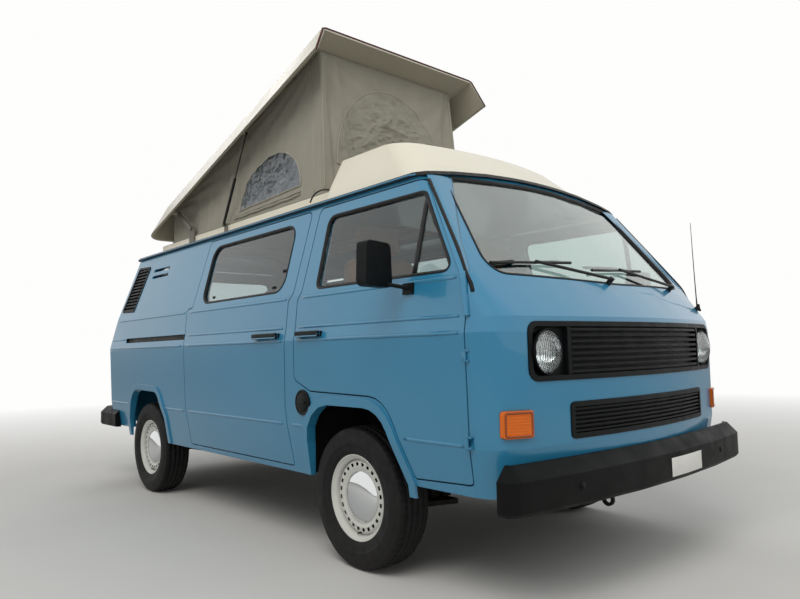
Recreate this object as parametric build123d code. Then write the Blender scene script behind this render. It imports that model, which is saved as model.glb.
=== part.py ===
from build123d import *
import os
from math import asin, atan2, cos, degrees, hypot, pi, radians, sin, sqrt, tan

# Camper van with a lifting roof, in millimetres.
# Origin on the ground under the middle, nose towards -Y, left-hand side of the van towards +X.

# Overall sizes
LENGTH = 4570
WHEELBASE = 2461
FRONT_OVERHANG = 1050
TRACK = 1570
FRONT_AXLE_Y = FRONT_OVERHANG - LENGTH / 2
REAR_AXLE_Y = FRONT_AXLE_Y + WHEELBASE

# Body shell
WALL = 40
GAP = 6
SEAT = 0.3
SHELL_BOTTOM = 360
NOSE_BOTTOM = 432
SILL_BOTTOM = 380
TAIL_BOTTOM = 440
GUTTER_Z = 1765
CROWN = 55
HEADER_Z = 1728
TAIL_DEPTH = 155

# Plan sections of the shell. Columns: height, half width, front y, front bow radius,
# front corner radius, rear y, rear bow radius, rear corner radius
SECTIONS = [
    (SHELL_BOTTOM, 868, -2195, 3200, 150, 2090, 7000, 150),
    (615, 905, -2235, 3200, 150, 2120, 7000, 160),
    (1047, 922, -2235, 3200, 150, 2120, 7000, 160),
    (1105, 912, -2226, 3200, 150, 2105, 7000, 160),
    (1275, 898, -2080, 3900, 60, 2000, 7000, 150),
    (1830, 752, -1640, 3900, 60, 1800, 7000, 140),
]

# Directions in which the flat faces of the shell's nose and tail look, in degrees from straight ahead
NOSE_FLATS = [0, 3.5, 7, 10.5, 22, 38, 54, 72, 90]
TAIL_FLATS = [0, 3, 6, 22, 38, 54, 72, 90]

# Corners under this radius or this turn get fewer chords
SMALL_R = 30
SMALL_TURN = 0.45
CORNER_STEPS = 4

# Side openings, seen along X. Columns: y, z, corner radius
FRONT_DOOR = [
    (-1985, 476, 18),
    (-1992, 1105, 60),
    (-1958, 1290, 90),
    (-1648, HEADER_Z, 45),
    (-868, HEADER_Z, 35),
    (-852, 1290, 18),
    (-822, 1250, 20),
    (-804, 850, 30),
    (-944, 795, 60),
    (-1500, 785, 170),
    (-1662, 462, 20),
]
FRONT_WINDOW = [(-1912, 1294, 25), (-1664, 1664, 40), (-967, 1668, 45), (-977, 1300, 35)]
SLIDING_DOOR = [
    (-744, 410, 15),
    (-708, 720, 60),
    (-735, 1250, 20),
    (-775, 1290, 18),
    (-794, HEADER_Z, 35),
    (400, HEADER_Z, 35),
    (440, 1290, 18),
    (515, 1280, 20),
    (520, 700, 60),
    (490, 410, 15),
]
SIDE_WINDOW = [(-662, 1310, 78), (-662, 1676, 78), (316, 1676, 78), (316, 1310, 78)]
FRONT_ARCH = [(-898, 300, 0), (-905, 735, 190), (-1470, 735, 170), (-1622, 432, 8), (-1622, 300, 0)]
REAR_ARCH = [
    (848, 300, 0),
    (872, 560, 80),
    (985, 728, 90),
    (1440, 740, 150),
    (1552, 500, 90),
    (1555, 300, 0),
]
FLAP_Y = -879
FLAP_Z = 738
FLAP_R = 63
INTAKE = [(1400, 1672, 20), (1648, 1684, 20), (1778, 1330, 20), (1512, 1322, 20)]

# Openings of the nose and tail, seen along Y. Columns: x, z, corner radius
WINDSCREEN = [
    (-772, 1286, 60),
    (-655, 1752, 70),
    (0, 1782, 3000),
    (655, 1752, 70),
    (772, 1286, 60),
    (0, 1268, 3000),
]
TAILGATE = [
    (-640, 800, 70),
    (-640, 1120, 200),
    (-572, 1716, 90),
    (572, 1716, 90),
    (640, 1120, 200),
    (640, 800, 70),
]
REAR_WINDOW = [(-545, 1275, 70), (-500, 1640, 70), (500, 1640, 70), (545, 1275, 70)]
UPPER_GRILLE = (750, 858, 1085, 45)
LOWER_GRILLE = (548, 632, 773, 18)
GRILLE_DEPTH = 26
UPPER_SLATS = 8
LOWER_SLATS = 6
SLAT_SHARE = 0.48
LAMP_X = 645
LAMP_Z = 969
LAMP_R = 84
LAMP_DOME = 26
LAMP_SIDES = 24
MIRROR = (1046, -1620, 1336)
MIRROR_HEAD = (172, 52, 184)
INDICATOR = (745, 862, 655, 756)

# Latch pins of the front doors, and of the tailgate along Y
STRIKER_X = 900
STRIKER_Y = -828
STRIKER_Z = 1000
GATE_STRIKER_Y = 2086

# Hinges: axis of the doors as x and y, of the tailgate as y and z, and the hinge's own sizes
DOOR_AXIS = (925, -1993)
GATE_AXIS = (1846, 1721)
GATE_HINGE_X = 335
HINGE_HEIGHTS = (640, 960)
HINGE_R = 5
HINGE_PIN = 3
HINGE_EYE = 30
HINGE_CHEEK = 8

# Wipers: pivot and blade middle along X, their heights
WIPERS = [(-80, -490), (560, 120)]
WIPER_Z = 1262
BLADE_Z = 1345

# Depth of the bumpers' section
BUMPER_T = 60

# Wheels
TYRE_R = 320
TYRE_W = 185
RIM_R = 195
RIM_W = 154
BEAD_R = 178
SHEET = 6
HOLE_RING_R = 147
DISC_X = 50
CAP_R = 117
CAP_DOME = 24
RIM_HOLES = 24
TYRE_SIDES = 48
RIM_SIDES = 48
CAP_SIDES = 24
SPINDLE_R = 30
RUNNING_FIT = 0.05
HUB_Z = TYRE_R
KINGPIN_X = 710
WELL_CLEAR = 50
WELL_INNER_X = 490
REAR_WELL_X = 660

SPARE_Y = -1845
PIPE_Z = 354

# Frame rails
RAIL_FRONT = -2080
RAIL_REAR = 1950

# Floor levels
PLATE = 30
FOOTWELL_Z = 600
PLATFORM_Z = 790
LIVING_Z = 440
DECK_Z = 800

# Steering column
COLUMN_R = 24
COLUMN_L = 720

# Roof deck, luggage tray and lid
DECK_TOP = 1885
DECK_HALF = 595
LEDGE_Z = 1812
DECK_SKIN = 20
DECK_FRONT = -745
DECK_REAR = 1760
UPSTAND_REAR = 1680
HATCH_HALF = 500
HATCH_FRONT = -560
HATCH_REAR = 1350
TRAY_RIM_Z = 2014
TRAY_WALL = 35
LID_TOP = 2015
LID_RIM = 1837
LID_HALF = 625
LID_RIM_HALF = 715
LID_FRONT = -775
LID_REAR = 1605
LID_RIM_REAR = 1789
LID_SKIN = 18
LID_CORNER_R = 120
LID_OPEN = 16.5
LID_SHIFT = (-509.2, 682.9)

# Lid linkage, in the plane of each side. Pivots as y, z
ARM_FOOT = (1100, 1946)
ARM_EYE_CLOSED = (1350, 1870)
STRUT_FOOT = (550, 1885)
STRUT_EYE_CLOSED = (197, 1901)
ARM_X = 613
ARM_T = 10
ARM_H = 32
PIN_R = 6
STRUT_X = 619
STRUT_R = 10
ROD_R = 5
CLOSED_STRUT = 353

# Tent
TENT_T = 3
TENT_BASE_HALF = 578
TENT_TOP_HALF = 548
TENT_FRONT = (-600, -620)
TENT_REAR = 1500


def block(x0, x1, y0, y1, z0, z1):
    """Box between two corners."""
    return Pos((x0 + x1) / 2, (y0 + y1) / 2, (z0 + z1) / 2) * Box(abs(x1 - x0), abs(y1 - y0), abs(z1 - z0))


def rod_x(x0, x1, y, z, r, sides=0):
    """Bar along X, round or with a number of sides."""
    return rod_between((x0, y, z), (x1, y, z), r, sides)


def rod_between(start, end, radius, sides=0):
    """Bar from one point to another, round or with a number of sides."""
    a, b = Vector(*start), Vector(*end)
    plane = Plane(origin=a, z_dir=b - a)
    section = RegularPolygon(radius, sides) if sides else Circle(radius)
    return extrude(plane * section, (b - a).length)


def corner(before, point, after, radius):
    """Points that round one corner in chords."""
    u = (before[0] - point[0], before[1] - point[1])
    v = (after[0] - point[0], after[1] - point[1])
    u = (u[0] / hypot(*u), u[1] / hypot(*u))
    v = (v[0] / hypot(*v), v[1] / hypot(*v))
    turn = pi - abs(atan2(u[0] * v[1] - u[1] * v[0], u[0] * v[0] + u[1] * v[1]))
    reach = radius * tan(turn / 2)
    start = (point[0] + u[0] * reach, point[1] + u[1] * reach)
    away = radius / cos(turn / 2)
    size = hypot(u[0] + v[0], u[1] + v[1])
    centre = (point[0] + (u[0] + v[0]) / size * away, point[1] + (u[1] + v[1]) / size * away)
    side = 1 if u[0] * v[1] - u[1] * v[0] < 0 else -1
    steps = 2 if radius < SMALL_R or turn < SMALL_TURN else 4
    points = []
    for i in range(steps + 1):
        angle = side * turn * i / steps
        dx, dy = start[0] - centre[0], start[1] - centre[1]
        x = centre[0] + dx * cos(angle) - dy * sin(angle)
        points.append((x, centre[1] + dx * sin(angle) + dy * cos(angle)))
    return points


def rounded(points, plane):
    """Closed face on a plane from corners given as u, v, radius, each rounded in chords."""
    outline = []
    count = len(points)
    for i in range(count):
        before, point, after = points[i - 1], points[i], points[(i + 1) % count]
        outline += corner(before, point, after, point[2]) if point[2] > 0 else [point[:2]]
    return plane * make_face(Polyline(outline, close=True))


def stacked(rings):
    """Closed solid through rings of points, with flat faces between them and at both ends."""
    faces = [polygon(rings[0]), polygon(rings[-1])]
    for low, high in zip(rings, rings[1:]):
        for i in range(len(low)):
            faces.append(polygon([low[i - 1], low[i], high[i], high[i - 1]]))
    return Solid(Shell(faces))


def polygon(points):
    """Flat face through points."""
    return Face(Wire(Polyline(points, close=True).edges()))


def turned(outline, sides):
    """Solid about the X axis through points of x and distance of its flats, with flat sides."""
    rings = []
    for x, r in outline:
        reach = r / cos(pi / sides)
        angles = [2 * pi * (i + 0.5) / sides for i in range(sides)]
        rings.append([(x, reach * sin(a), reach * cos(a)) for a in angles])
    return stacked(rings)


def grown(points, amount):
    """The same corners moved outwards by an amount, for an outline drawn either way round."""
    count = len(points)
    area = sum(points[i - 1][0] * points[i][1] - points[i][0] * points[i - 1][1] for i in range(count))
    side = 1 if area > 0 else -1
    result = []
    for i in range(count):
        a, b, c = points[i - 1], points[i], points[(i + 1) % count]
        u = (b[0] - a[0], b[1] - a[1])
        v = (c[0] - b[0], c[1] - b[1])
        nu = (u[1] / hypot(*u) * side, -u[0] / hypot(*u) * side)
        nv = (v[1] / hypot(*v) * side, -v[0] / hypot(*v) * side)
        scale = amount / (1 + nu[0] * nv[0] + nu[1] * nv[1])
        turn = (u[0] * v[1] - u[1] * v[0]) * side
        radius = max(b[2] + (amount if turn > 0 else -amount), 1) if b[2] > 0 else 0
        result.append((b[0] + (nu[0] + nv[0]) * scale, b[1] + (nu[1] + nv[1]) * scale, radius))
    return result


def prism_x(points, x0, x1):
    """Outline of y, z corners carried from x0 to x1."""
    return extrude(rounded(points, Plane.YZ.offset(min(x0, x1))), abs(x1 - x0))


def prism_y(points, y0, y1):
    """Outline of x, z corners carried from y0 to y1."""
    return extrude(rounded(points, Plane.XZ.offset(-max(y0, y1))), abs(y1 - y0))


def prism_z(points, z0, z1):
    """Outline of x, y corners carried from z0 to z1."""
    return extrude(rounded(points, Plane.XY.offset(min(z0, z1))), abs(z1 - z0))


def rectangle(half, z0, z1, radius):
    """Rectangle outline about the middle plane."""
    return [(-half, z0, radius), (-half, z1, radius), (half, z1, radius), (half, z0, radius)]


def both(shape):
    """A right-hand piece with its left-hand mirror."""
    return shape + mirror(shape, about=Plane.YZ)


def end_points(half, front, bow, corner_r, flats):
    """Corners of one bowed end from its middle to the side, where its flat faces meet."""
    reach = asin((half - corner_r) / (bow - corner_r))
    middle = (0, front + bow)
    centre = (half - corner_r, front + bow - (bow - corner_r) * cos(reach))
    lines = []
    for angle in map(radians, flats):
        (x, y), r = (middle, bow) if angle < reach else (centre, corner_r)
        normal = (sin(angle), -cos(angle))
        lines.append((*normal, normal[0] * x + normal[1] * y + r))
    points = []
    for (a, b, c), (d, e, f) in zip(lines, lines[1:]):
        size = a * e - b * d
        points.append(((c * e - b * f) / size, (a * f - c * d) / size))
    return points


def plan_ring(z, half, front, front_bow, front_corner, rear, rear_bow, rear_corner):
    """Corners of one plan section with bowed ends and round corners."""
    nose = end_points(half, front, front_bow, front_corner, NOSE_FLATS)
    tail = [(x, -y) for x, y in end_points(half, -rear, rear_bow, rear_corner, TAIL_FLATS)]
    left = nose + tail[::-1]
    right = [(-x, y) for x, y in left[::-1]]
    return [(x, y, z) for x, y in left + right]


FORMS = {}


def form(grow):
    """Solid body form, its walls moved outwards by an amount."""
    if grow not in FORMS:
        FORMS[grow] = stacked([
            plan_ring(z, half + grow, front - grow, f_bow + grow, f_corner + grow,
                      rear + grow, r_bow + grow, r_corner + grow)
            for z, half, front, f_bow, f_corner, rear, r_bow, r_corner in SECTIONS])
    return FORMS[grow]


def crown_top(drop):
    """Everything under the crowned roof line, lowered by an amount."""
    edge = GUTTER_Z - drop
    half = 770
    steps = 8
    shares = [1 - 2 * i / steps for i in range(steps + 1)]
    arch = [(half * share, edge + CROWN * (1 - share ** 2)) for share in shares]
    outline = [(half + 300, 0), (half + 300, edge), *arch, (-half - 300, edge), (-half - 300, 0)]
    return extrude(Plane.XZ.offset(-3000) * make_face(Polyline(outline, close=True)), 6000)


SKINS = {}


def skin(outside, inside):
    """Shell between two offsets of the body form."""
    key = (outside, inside)
    if key not in SKINS:
        SKINS[key] = form(outside) - form(inside)
    return SKINS[key]


def bounded(shape, x=None, y=None, z=None):
    """The part of a shape inside a box that is open where no limits are given."""
    x0, x1 = x or (-3000, 3000)
    y0, y1 = y or (-3000, 3000)
    z0, z1 = z or (-100, 3500)
    return shape & block(x0, x1, y0, y1, z0, z1)


def body_shell():
    """Hollow outer shell with its roof crowned, open below."""
    outer = form(0) & crown_top(0)
    inner = form(-WALL) & crown_top(WALL)
    shell = outer - inner
    shell -= block(-1000, 1000, -2400, -1622, 300, NOSE_BOTTOM)
    shell -= block(-1000, 1000, -1622, 1555, 300, SILL_BOTTOM)
    shell -= block(-1000, 1000, 1555, 2300, 300, TAIL_BOTTOM)
    return shell - prism_y(WINDSCREEN, -2500, -1400)


def wheel_gap(axle_y, clear, x0, x1):
    """Room that a wheel needs behind the arch's edge."""
    reach = TYRE_R + clear
    corners = [
        (axle_y - reach, 200, 0),
        (axle_y - reach, HUB_Z + TYRE_R + 60, 230),
        (axle_y + reach, HUB_Z + TYRE_R + 60, 230),
        (axle_y + reach, 200, 0),
    ]
    return prism_x(corners, x0, x1)


def side_split():
    """Side view outline of everything behind the front door's front edge, just inside the door's gap."""
    reach = GAP / 2 - SEAT
    edge = [(y - reach, z, radius) for (y, z, _), radius in zip(FRONT_DOOR, (0, 60, 90, 0))]
    return [(edge[0][0], 200, 0), *edge, (edge[3][0], 2200, 0), (2600, 2200, 0), (2600, 200, 0)]


def rear_split():
    """Side view outline of the rear corners and everything behind them."""
    points = [(rear - TAIL_DEPTH, z, 0) for z, _, _, _, _, rear, _, _ in SECTIONS[2:]]
    return [(points[0][0], 200, 0), *points, (2600, SECTIONS[-1][0], 0), (2600, 200, 0)]


def door_hole(outline, sign):
    """Opening in one side wall, a gap wider than its door all round."""
    return prism_x(grown(outline, GAP / 2), sign * 600, sign * 990)


def make_walls(shell):
    """Front panel, both side walls, rear frame and roof frame out of the one shell."""
    behind = prism_x(side_split(), -1000, 1000)
    front = shell - behind
    rest = shell & behind
    roof = bounded(rest, z=(HEADER_Z + GAP / 2, 2000))
    lower = bounded(rest, z=(0, HEADER_Z + GAP / 2))
    tail = prism_x(rear_split(), -1000, 1000)
    rear = lower & tail
    sides = lower - tail
    return front, bounded(sides, x=(-1000, -300)), bounded(sides, x=(300, 1000)), rear, roof


def side_wall(wall, sign):
    """One side with its door, window and arch openings, vents and arch lips."""
    wall = wall - door_hole(FRONT_DOOR, sign)
    if sign < 0:
        wall -= door_hole(SLIDING_DOOR, sign)
    else:
        wall -= prism_x(SIDE_WINDOW, sign * 600, sign * 970)
    lips = skin(10, -1) & (
        (prism_x(grown(FRONT_ARCH, 42), sign * 800, sign * 970)
         - prism_x(grown(FRONT_DOOR, GAP), sign * 700, sign * 980))
        + prism_x(grown(REAR_ARCH, 40), sign * 800, sign * 970))
    lips = bounded(lips, y=(-1662, 1600), z=(SILL_BOTTOM + 2, 900))
    wall += lips
    wall -= prism_x(FRONT_ARCH, sign * 500, sign * 990)
    wall -= prism_x(REAR_ARCH, sign * 500, sign * 990)
    wall -= wheel_gap(FRONT_AXLE_Y, WELL_CLEAR, sign * 500, sign * 853)
    wall -= wheel_gap(REAR_AXLE_Y, 20, sign * 500, sign * 866)
    wall -= prism_x(INTAKE, sign * 600, sign * 970)
    for z in (1575, 1625):
        ends = [(1020, z - 11, 10), (1020, z + 11, 10), (1320, z + 11, 10), (1320, z - 11, 10)]
        slot = rounded(ends, Plane.YZ)
        wall -= extrude(slot.moved(Location((sign * 700, 0, 0))), 300, dir=(sign, 0, 0))
    pin_end = (sign * STRIKER_X, STRIKER_Y, STRIKER_Z)
    wall += rod_between((sign * STRIKER_X, STRIKER_Y + 26, STRIKER_Z), pin_end, 5, 8)
    if sign < 0:
        wall -= skin(5, -14) & block(-970, -800, 520, 1600, 1085, 1120)
        wall -= skin(14, -3 - SEAT) & flap_disc(FLAP_R + SEAT)
    return wall


def flap_disc(radius):
    """Round column through the right side at the fuel filler."""
    return rod_x(-1000, -700, FLAP_Y, FLAP_Z, radius, 20)


def solids_of(shape):
    """All solids of a shape, the largest first."""
    return sorted(shape.solids(), key=lambda s: -s.volume)


def largest(shape):
    """The main solid, without slivers that a cut left."""
    return solids_of(shape)[0]


def door_panel(shell, outline, sign, window):
    """Whole door as thick as the wall, with its window cut."""
    panel = shell & prism_x(grown(outline, -GAP / 2), sign * 600, sign * 990)
    panel = panel - prism_x(window, sign * 600, sign * 990)
    if outline is FRONT_DOOR:
        panel -= wheel_gap(FRONT_AXLE_Y, WELL_CLEAR, sign * 500, sign * 853)
        room_x = STRIKER_X + 5 + SEAT
        panel -= block(sign * 860, sign * room_x, STRIKER_Y - 4, STRIKER_Y + 30,
                       STRIKER_Z - 12, STRIKER_Z + 12)
        return largest(panel)
    foot_z = SLIDING_DOOR[0][1] - GAP / 2 + SEAT
    for y in (-600, 400):
        panel += block(sign * 842, sign * 866, y - 15, y + 15, foot_z, foot_z + 20)
    return largest(panel)


def hinge(place, web, moving):
    """Moving eye, or fixed pin between two cheeks, of a hinge along X about the origin of a place."""
    piece = web
    if moving:
        piece = web + rod_x(-HINGE_EYE / 2, HINGE_EYE / 2, 0, 0, HINGE_R, 12)
        piece -= rod_x(-HINGE_EYE, HINGE_EYE, 0, 0, HINGE_PIN + RUNNING_FIT)
    else:
        reach = HINGE_EYE / 2 + SEAT
        for side in (-1, 1):
            piece += rod_x(side * reach, side * (reach + HINGE_CHEEK), 0, 0, HINGE_R, 12)
        piece += rod_x(-reach - HINGE_CHEEK, reach + HINGE_CHEEK, 0, 0, HINGE_PIN)
    return place * piece


def door_hinges(sign, moving):
    """Two hinges down a front door's front edge, for the door or for the panel ahead of it."""
    result = []
    for z in HINGE_HEIGHTS:
        place = Pos(sign * DOOR_AXIS[0], DOOR_AXIS[1], z) * Rot(0, 90, 0)
        inwards = -sign * 20
        if moving:
            web = block(-HINGE_EYE / 2, HINGE_EYE / 2, 0, 18, 0, inwards / 5)
            web += block(-HINGE_EYE / 2, HINGE_EYE / 2, 6, 18, 0, inwards)
        else:
            web = hinge_cheeks(-18, 0, 0, inwards)
        result.append(hinge(place, web, moving))
    return result


def hinge_cheeks(y0, y1, z0, z1):
    """Two blocks that carry the cheeks of a hinge along X."""
    reach = HINGE_EYE / 2 + SEAT
    outer = reach + HINGE_CHEEK
    return block(-outer, -reach, y0, y1, z0, z1) + block(reach, outer, y0, y1, z0, z1)


def gate_hinges(moving):
    """Two hinges above the tailgate, for the gate or for the frame round it."""
    result = []
    for x in (-GATE_HINGE_X, GATE_HINGE_X):
        if moving:
            web = block(-HINGE_EYE / 2, HINGE_EYE / 2, -24, 0, -16, -HINGE_R)
            web += block(-HINGE_EYE / 2, HINGE_EYE / 2, -6, 0, -16, 0)
        else:
            web = hinge_cheeks(-30, 0, 0, 9)
        result.append(hinge(Pos(x, *GATE_AXIS), web, moving))
    return result


def handle(y0, y1, sign):
    """Pull handle over a shallow recess, standing 22 mm off the door."""
    bar = (skin(26, 14) & prism_x([(y0, 1062, 10), (y0, 1088, 10), (y1, 1088, 10), (y1, 1062, 10)],
                                  sign * 800, sign * 990))
    feet = skin(20, -1) & (block(sign * 800, sign * 990, y0, y0 + 24, 1064, 1086)
                           + block(sign * 800, sign * 990, y1 - 24, y1, 1064, 1086))
    return bar + feet


def glass_pane(window, sign, seat=SEAT):
    """Side pane set in its window opening."""
    return largest(skin(-12, -17) & prism_x(grown(window, -seat), sign * 500, sign * 990))


def make_mirror(sign):
    """Mirror head with its arm and the foot on the door."""
    place = Pos(*MIRROR) * Rot(0, 0, -12)
    half_w, half_d, half_h = MIRROR_HEAD[0] / 2, MIRROR_HEAD[1] / 2, MIRROR_HEAD[2] / 2
    top = half_w - 8
    corners = [(-half_w, -half_h, 24), (-top, half_h, 24), (top, half_h, 24), (half_w, -half_h, 24)]
    head = place * (prism_y(corners, -half_d, half_d) - prism_y(grown(corners, -8), half_d - 5, half_d + 5))
    x, y, z = MIRROR
    arm = rod_between((x - half_w + 30, y - 14, z - half_h + 12), (906, -1672, 1240), 9, 6)
    foot = skin(12, SEAT) & block(850, 960, -1700, -1640, 1215, 1262)
    piece = head + arm + foot
    return piece if sign > 0 else mirror(piece, about=Plane.YZ)


def front_panel(front):
    """Nose, windscreen surround and A-pillars with every opening cut."""
    for half, z0, z1, radius in (UPPER_GRILLE, LOWER_GRILLE):
        front -= prism_y(rectangle(half, z0, z1, radius), -2500, -1900)
    for sign in (-1, 1):
        front -= indicator_box(sign, 0)
    return largest(front)


def indicator_box(sign, shrink):
    """Room of a front indicator, at the corner of the nose."""
    x0, x1, z0, z1 = INDICATOR
    outline = [(sign * (x0 + shrink), z0 + shrink, 10), (sign * (x0 + shrink), z1 - shrink, 10),
               (sign * (x1 - shrink), z1 - shrink, 10), (sign * (x1 - shrink), z0 + shrink, 10)]
    return prism_y(outline, -2500, -1950)


def grille(frame, slats, clear_half):
    """Black grille: a frame round the opening, a back plate and rows of slats."""
    half, z0, z1, radius = frame
    outline = rectangle(half - SEAT, z0 + SEAT, z1 - SEAT, radius)
    whole = prism_y(outline, -2500, -1900)
    border = 20
    inner = rectangle(half - border, z0 + border, z1 - border, max(radius - border, 4))
    hollow = prism_y(inner, -2500, -1900)
    frame_ring = (skin(5, -GRILLE_DEPTH) & whole) - hollow
    back = skin(-GRILLE_DEPTH + 5, -GRILLE_DEPTH) & whole
    result = frame_ring + back
    pitch = (z1 - z0 - 2 * border) / slats
    bars = []
    for i in range(slats):
        z = z0 + border + pitch * (i + 0.5)
        rise = pitch * SLAT_SHARE / 2
        bars.append(block(-clear_half, clear_half, -2500, -1900, z - rise, z + rise))
    result += skin(1, -GRILLE_DEPTH + 2) & Compound(bars)
    return bounded(result, y=(-2500, -1950))


def front_grilles():
    """Upper grille with its lamp bays and lower intake grille."""
    upper = grille(UPPER_GRILLE, UPPER_SLATS, 530)
    for sign in (-1, 1):
        bay = turned([(-150, LAMP_R + 1), (150, LAMP_R + 1)], LAMP_SIDES)
        bay = Pos(sign * LAMP_X, -2160, LAMP_Z) * Rot(0, 0, -90) * bay
        upper -= bay
        post = (sign * 535, sign * 552)
        upper += skin(4, -GRILLE_DEPTH + 2) & prism_y(
            [(post[0], 880, 0), (post[0], 1063, 0), (post[1], 1063, 0), (post[1], 880, 0)], -2500, -1950)
    lower = grille(LOWER_GRILLE, LOWER_SLATS, LOWER_GRILLE[0] - 20)
    return upper + lower


def headlamps():
    """Round lamps with domed lenses and a bowl behind each."""
    turns = [pi / 2 * i / 3 for i in range(3)]
    dome = [(20 + LAMP_DOME * sin(turn), LAMP_R * cos(turn)) for turn in turns]
    outline = [(-55, LAMP_R - 12), (0, LAMP_R - 12), (0.1, LAMP_R), *dome, (20 + LAMP_DOME, 12)]
    lamp = turned(outline, LAMP_SIDES)
    return both(Pos(LAMP_X, front_y(LAMP_X, LAMP_Z) + 24, LAMP_Z) * Rot(0, 0, -90) * lamp)


def indicators():
    """Orange lamps set in the corners of the nose."""
    right = skin(12, -WALL) & indicator_box(-1, SEAT)
    return both(largest(bounded(right, y=(-2500, FRONT_DOOR[1][0] - GAP - 4))))


def bumper(front, z0, z1, slope, rear_end, width, bow, corner_r):
    """Bow-shaped bumper beam whose top slopes up to the body."""
    sign = -1 if front < 0 else 1

    def plan(z, inset):
        return plan_ring(z, width - inset, inset - abs(front), bow - inset, corner_r - inset,
                         1000, 9000, 100)

    beam = stacked([plan(z0, 12), plan(z0 + 14, 0), plan(z1 - slope, 0), plan(z1, 46)])
    room = stacked([plan(z0 - 20, BUMPER_T), plan(z1 + 20, BUMPER_T)])
    beam = bounded(beam - room, y=(-3000, -rear_end))
    beam = beam if sign < 0 else Rot(0, 0, 180) * beam
    return beam - form(5)


def front_bumper():
    """Front bumper, its brackets and tow eye."""
    beam = bumper(-LENGTH / 2, 398, 572, 52, 2145, 946, 6000, 70)
    brackets = both(block(385, 435, -2225, RAIL_FRONT - SEAT, 402, NOSE_BOTTOM - 2))
    eye = Pos(-330, -2200, 372) * Rot(0, 90, 0) * (Cylinder(26, 14) - Cylinder(14, 20))
    eye += block(-337, -323, -2216, -2190, 392, 410)
    return beam + brackets + eye


def rear_bumper():
    """Rear bumper with long end caps, and its brackets."""
    beam = bumper(LENGTH / 2, 430, 575, 45, 1780, 930, 6000, 120)
    brackets = block(385, 435, RAIL_REAR + SEAT, 2230, 385, TAIL_BOTTOM - 4)
    brackets += block(385, 435, 2150, 2230, TAIL_BOTTOM - 4, 500)
    return beam + both(brackets)


def tail_lamps():
    """Upright lamps in the rear corners."""
    lamp = skin(8, -WALL) & prism_y(
        [(-815, 770, 12), (-815, 1010, 12), (-672, 1010, 12), (-672, 770, 12)], 1950, 2300)
    return both(largest(lamp))


def lamp_holes():
    """Openings for the tail lamps."""
    hole = prism_y([(-815 - SEAT, 770 - SEAT, 12), (-815 - SEAT, 1010 + SEAT, 12),
                    (-672 + SEAT, 1010 + SEAT, 12), (-672 + SEAT, 770 - SEAT, 12)], 1950, 2300)
    return both(hole)


def rear_vents():
    """Louvred air intakes behind the side walls."""
    frame = skin(4, -30) & prism_x(grown(INTAKE, -SEAT), -990, -600)
    frame -= prism_x(grown(INTAKE, -16), -990, -600)
    back = skin(-24, -30) & prism_x(grown(INTAKE, -SEAT), -990, -600)
    vent = frame + back
    inner = grown(INTAKE, -10)
    bottom = inner[3][1]
    slats = 13
    pitch = (inner[0][1] - bottom) / slats
    area = prism_x(inner, -990, -600)
    rows = []
    for i in range(slats):
        z = bottom + pitch * (i + 0.5)
        rows.append(block(-990, -600, 1380, 1800, z - pitch * SLAT_SHARE / 2, z + pitch * SLAT_SHARE / 2))
    vent += (skin(1, -26) & area) & Compound(rows)
    return both(vent)


def drip_rails():
    """Rain gutter round the roof edge and down both A-pillars."""
    top = (skin(17, SEAT) & crown_top(-2)) - crown_top(16)
    top = bounded(top, y=(-2600, 1790))
    foot = (-2012, 1110)
    knee = (-1975, 1285)
    head = (-1655, 1752)
    band = 15
    strip = prism_x([
        (foot[0], foot[1], 0), (knee[0], knee[1], 60), (head[0], head[1], 0),
        (head[0] + band * 1.2, head[1], 0), (knee[0] + band * 1.2, knee[1] - band * 0.4, 60),
        (foot[0] + band, foot[1], 0),
    ], 600, 1000)
    pillar = skin(14, SEAT) & strip
    return top + both(largest(pillar))


def windscreen_glass():
    """Bowed windscreen, the fixed side panes and the sliding door's pane."""
    front = skin(-12, -18) & prism_y(grown(WINDSCREEN, -SEAT), -2500, -1400)
    screen = largest(bounded(front, y=(-2500, -1300)))
    return Compound([screen, glass_pane(SIDE_WINDOW, -1), glass_pane(SIDE_WINDOW, 1)])


def floor_pan():
    """One stepped plate: footwell, seat platform, living floor and engine deck."""
    x = 905
    rise0 = FRONT_AXLE_Y - TYRE_R - 62
    rise1 = FRONT_AXLE_Y + TYRE_R + 55
    rise2 = REAR_AXLE_Y - TYRE_R - 45
    top = [(-2300, FOOTWELL_Z), (rise0, FOOTWELL_Z), (rise0, PLATFORM_Z), (rise1 + PLATE, PLATFORM_Z),
           (rise1 + PLATE, LIVING_Z), (rise2, LIVING_Z), (rise2, DECK_Z), (2300, DECK_Z)]
    under = [(2300, DECK_Z - PLATE), (rise2 + PLATE, DECK_Z - PLATE), (rise2 + PLATE, LIVING_Z - PLATE),
             (rise1, LIVING_Z - PLATE), (rise1, PLATFORM_Z - PLATE), (rise0 + PLATE, PLATFORM_Z - PLATE),
             (rise0 + PLATE, FOOTWELL_Z - PLATE), (-2300, FOOTWELL_Z - PLATE)]
    outline = [(y, z, 0) for y, z in top + under]
    plate = prism_x(outline, -x, x)
    return largest(plate & form(-WALL))


def wheel_wells():
    """Inner walls beside the front and rear wheels."""
    front = block(WELL_INNER_X - 18, WELL_INNER_X, FRONT_AXLE_Y - TYRE_R - 32, FRONT_AXLE_Y + TYRE_R + 55,
                  LIVING_Z, PLATFORM_Z - PLATE)
    rear = block(REAR_WELL_X - 18, REAR_WELL_X, REAR_AXLE_Y - TYRE_R - 15, REAR_AXLE_Y + TYRE_R + 60,
                 LIVING_Z, DECK_Z - PLATE)
    return both(front) + both(rear)


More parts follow.
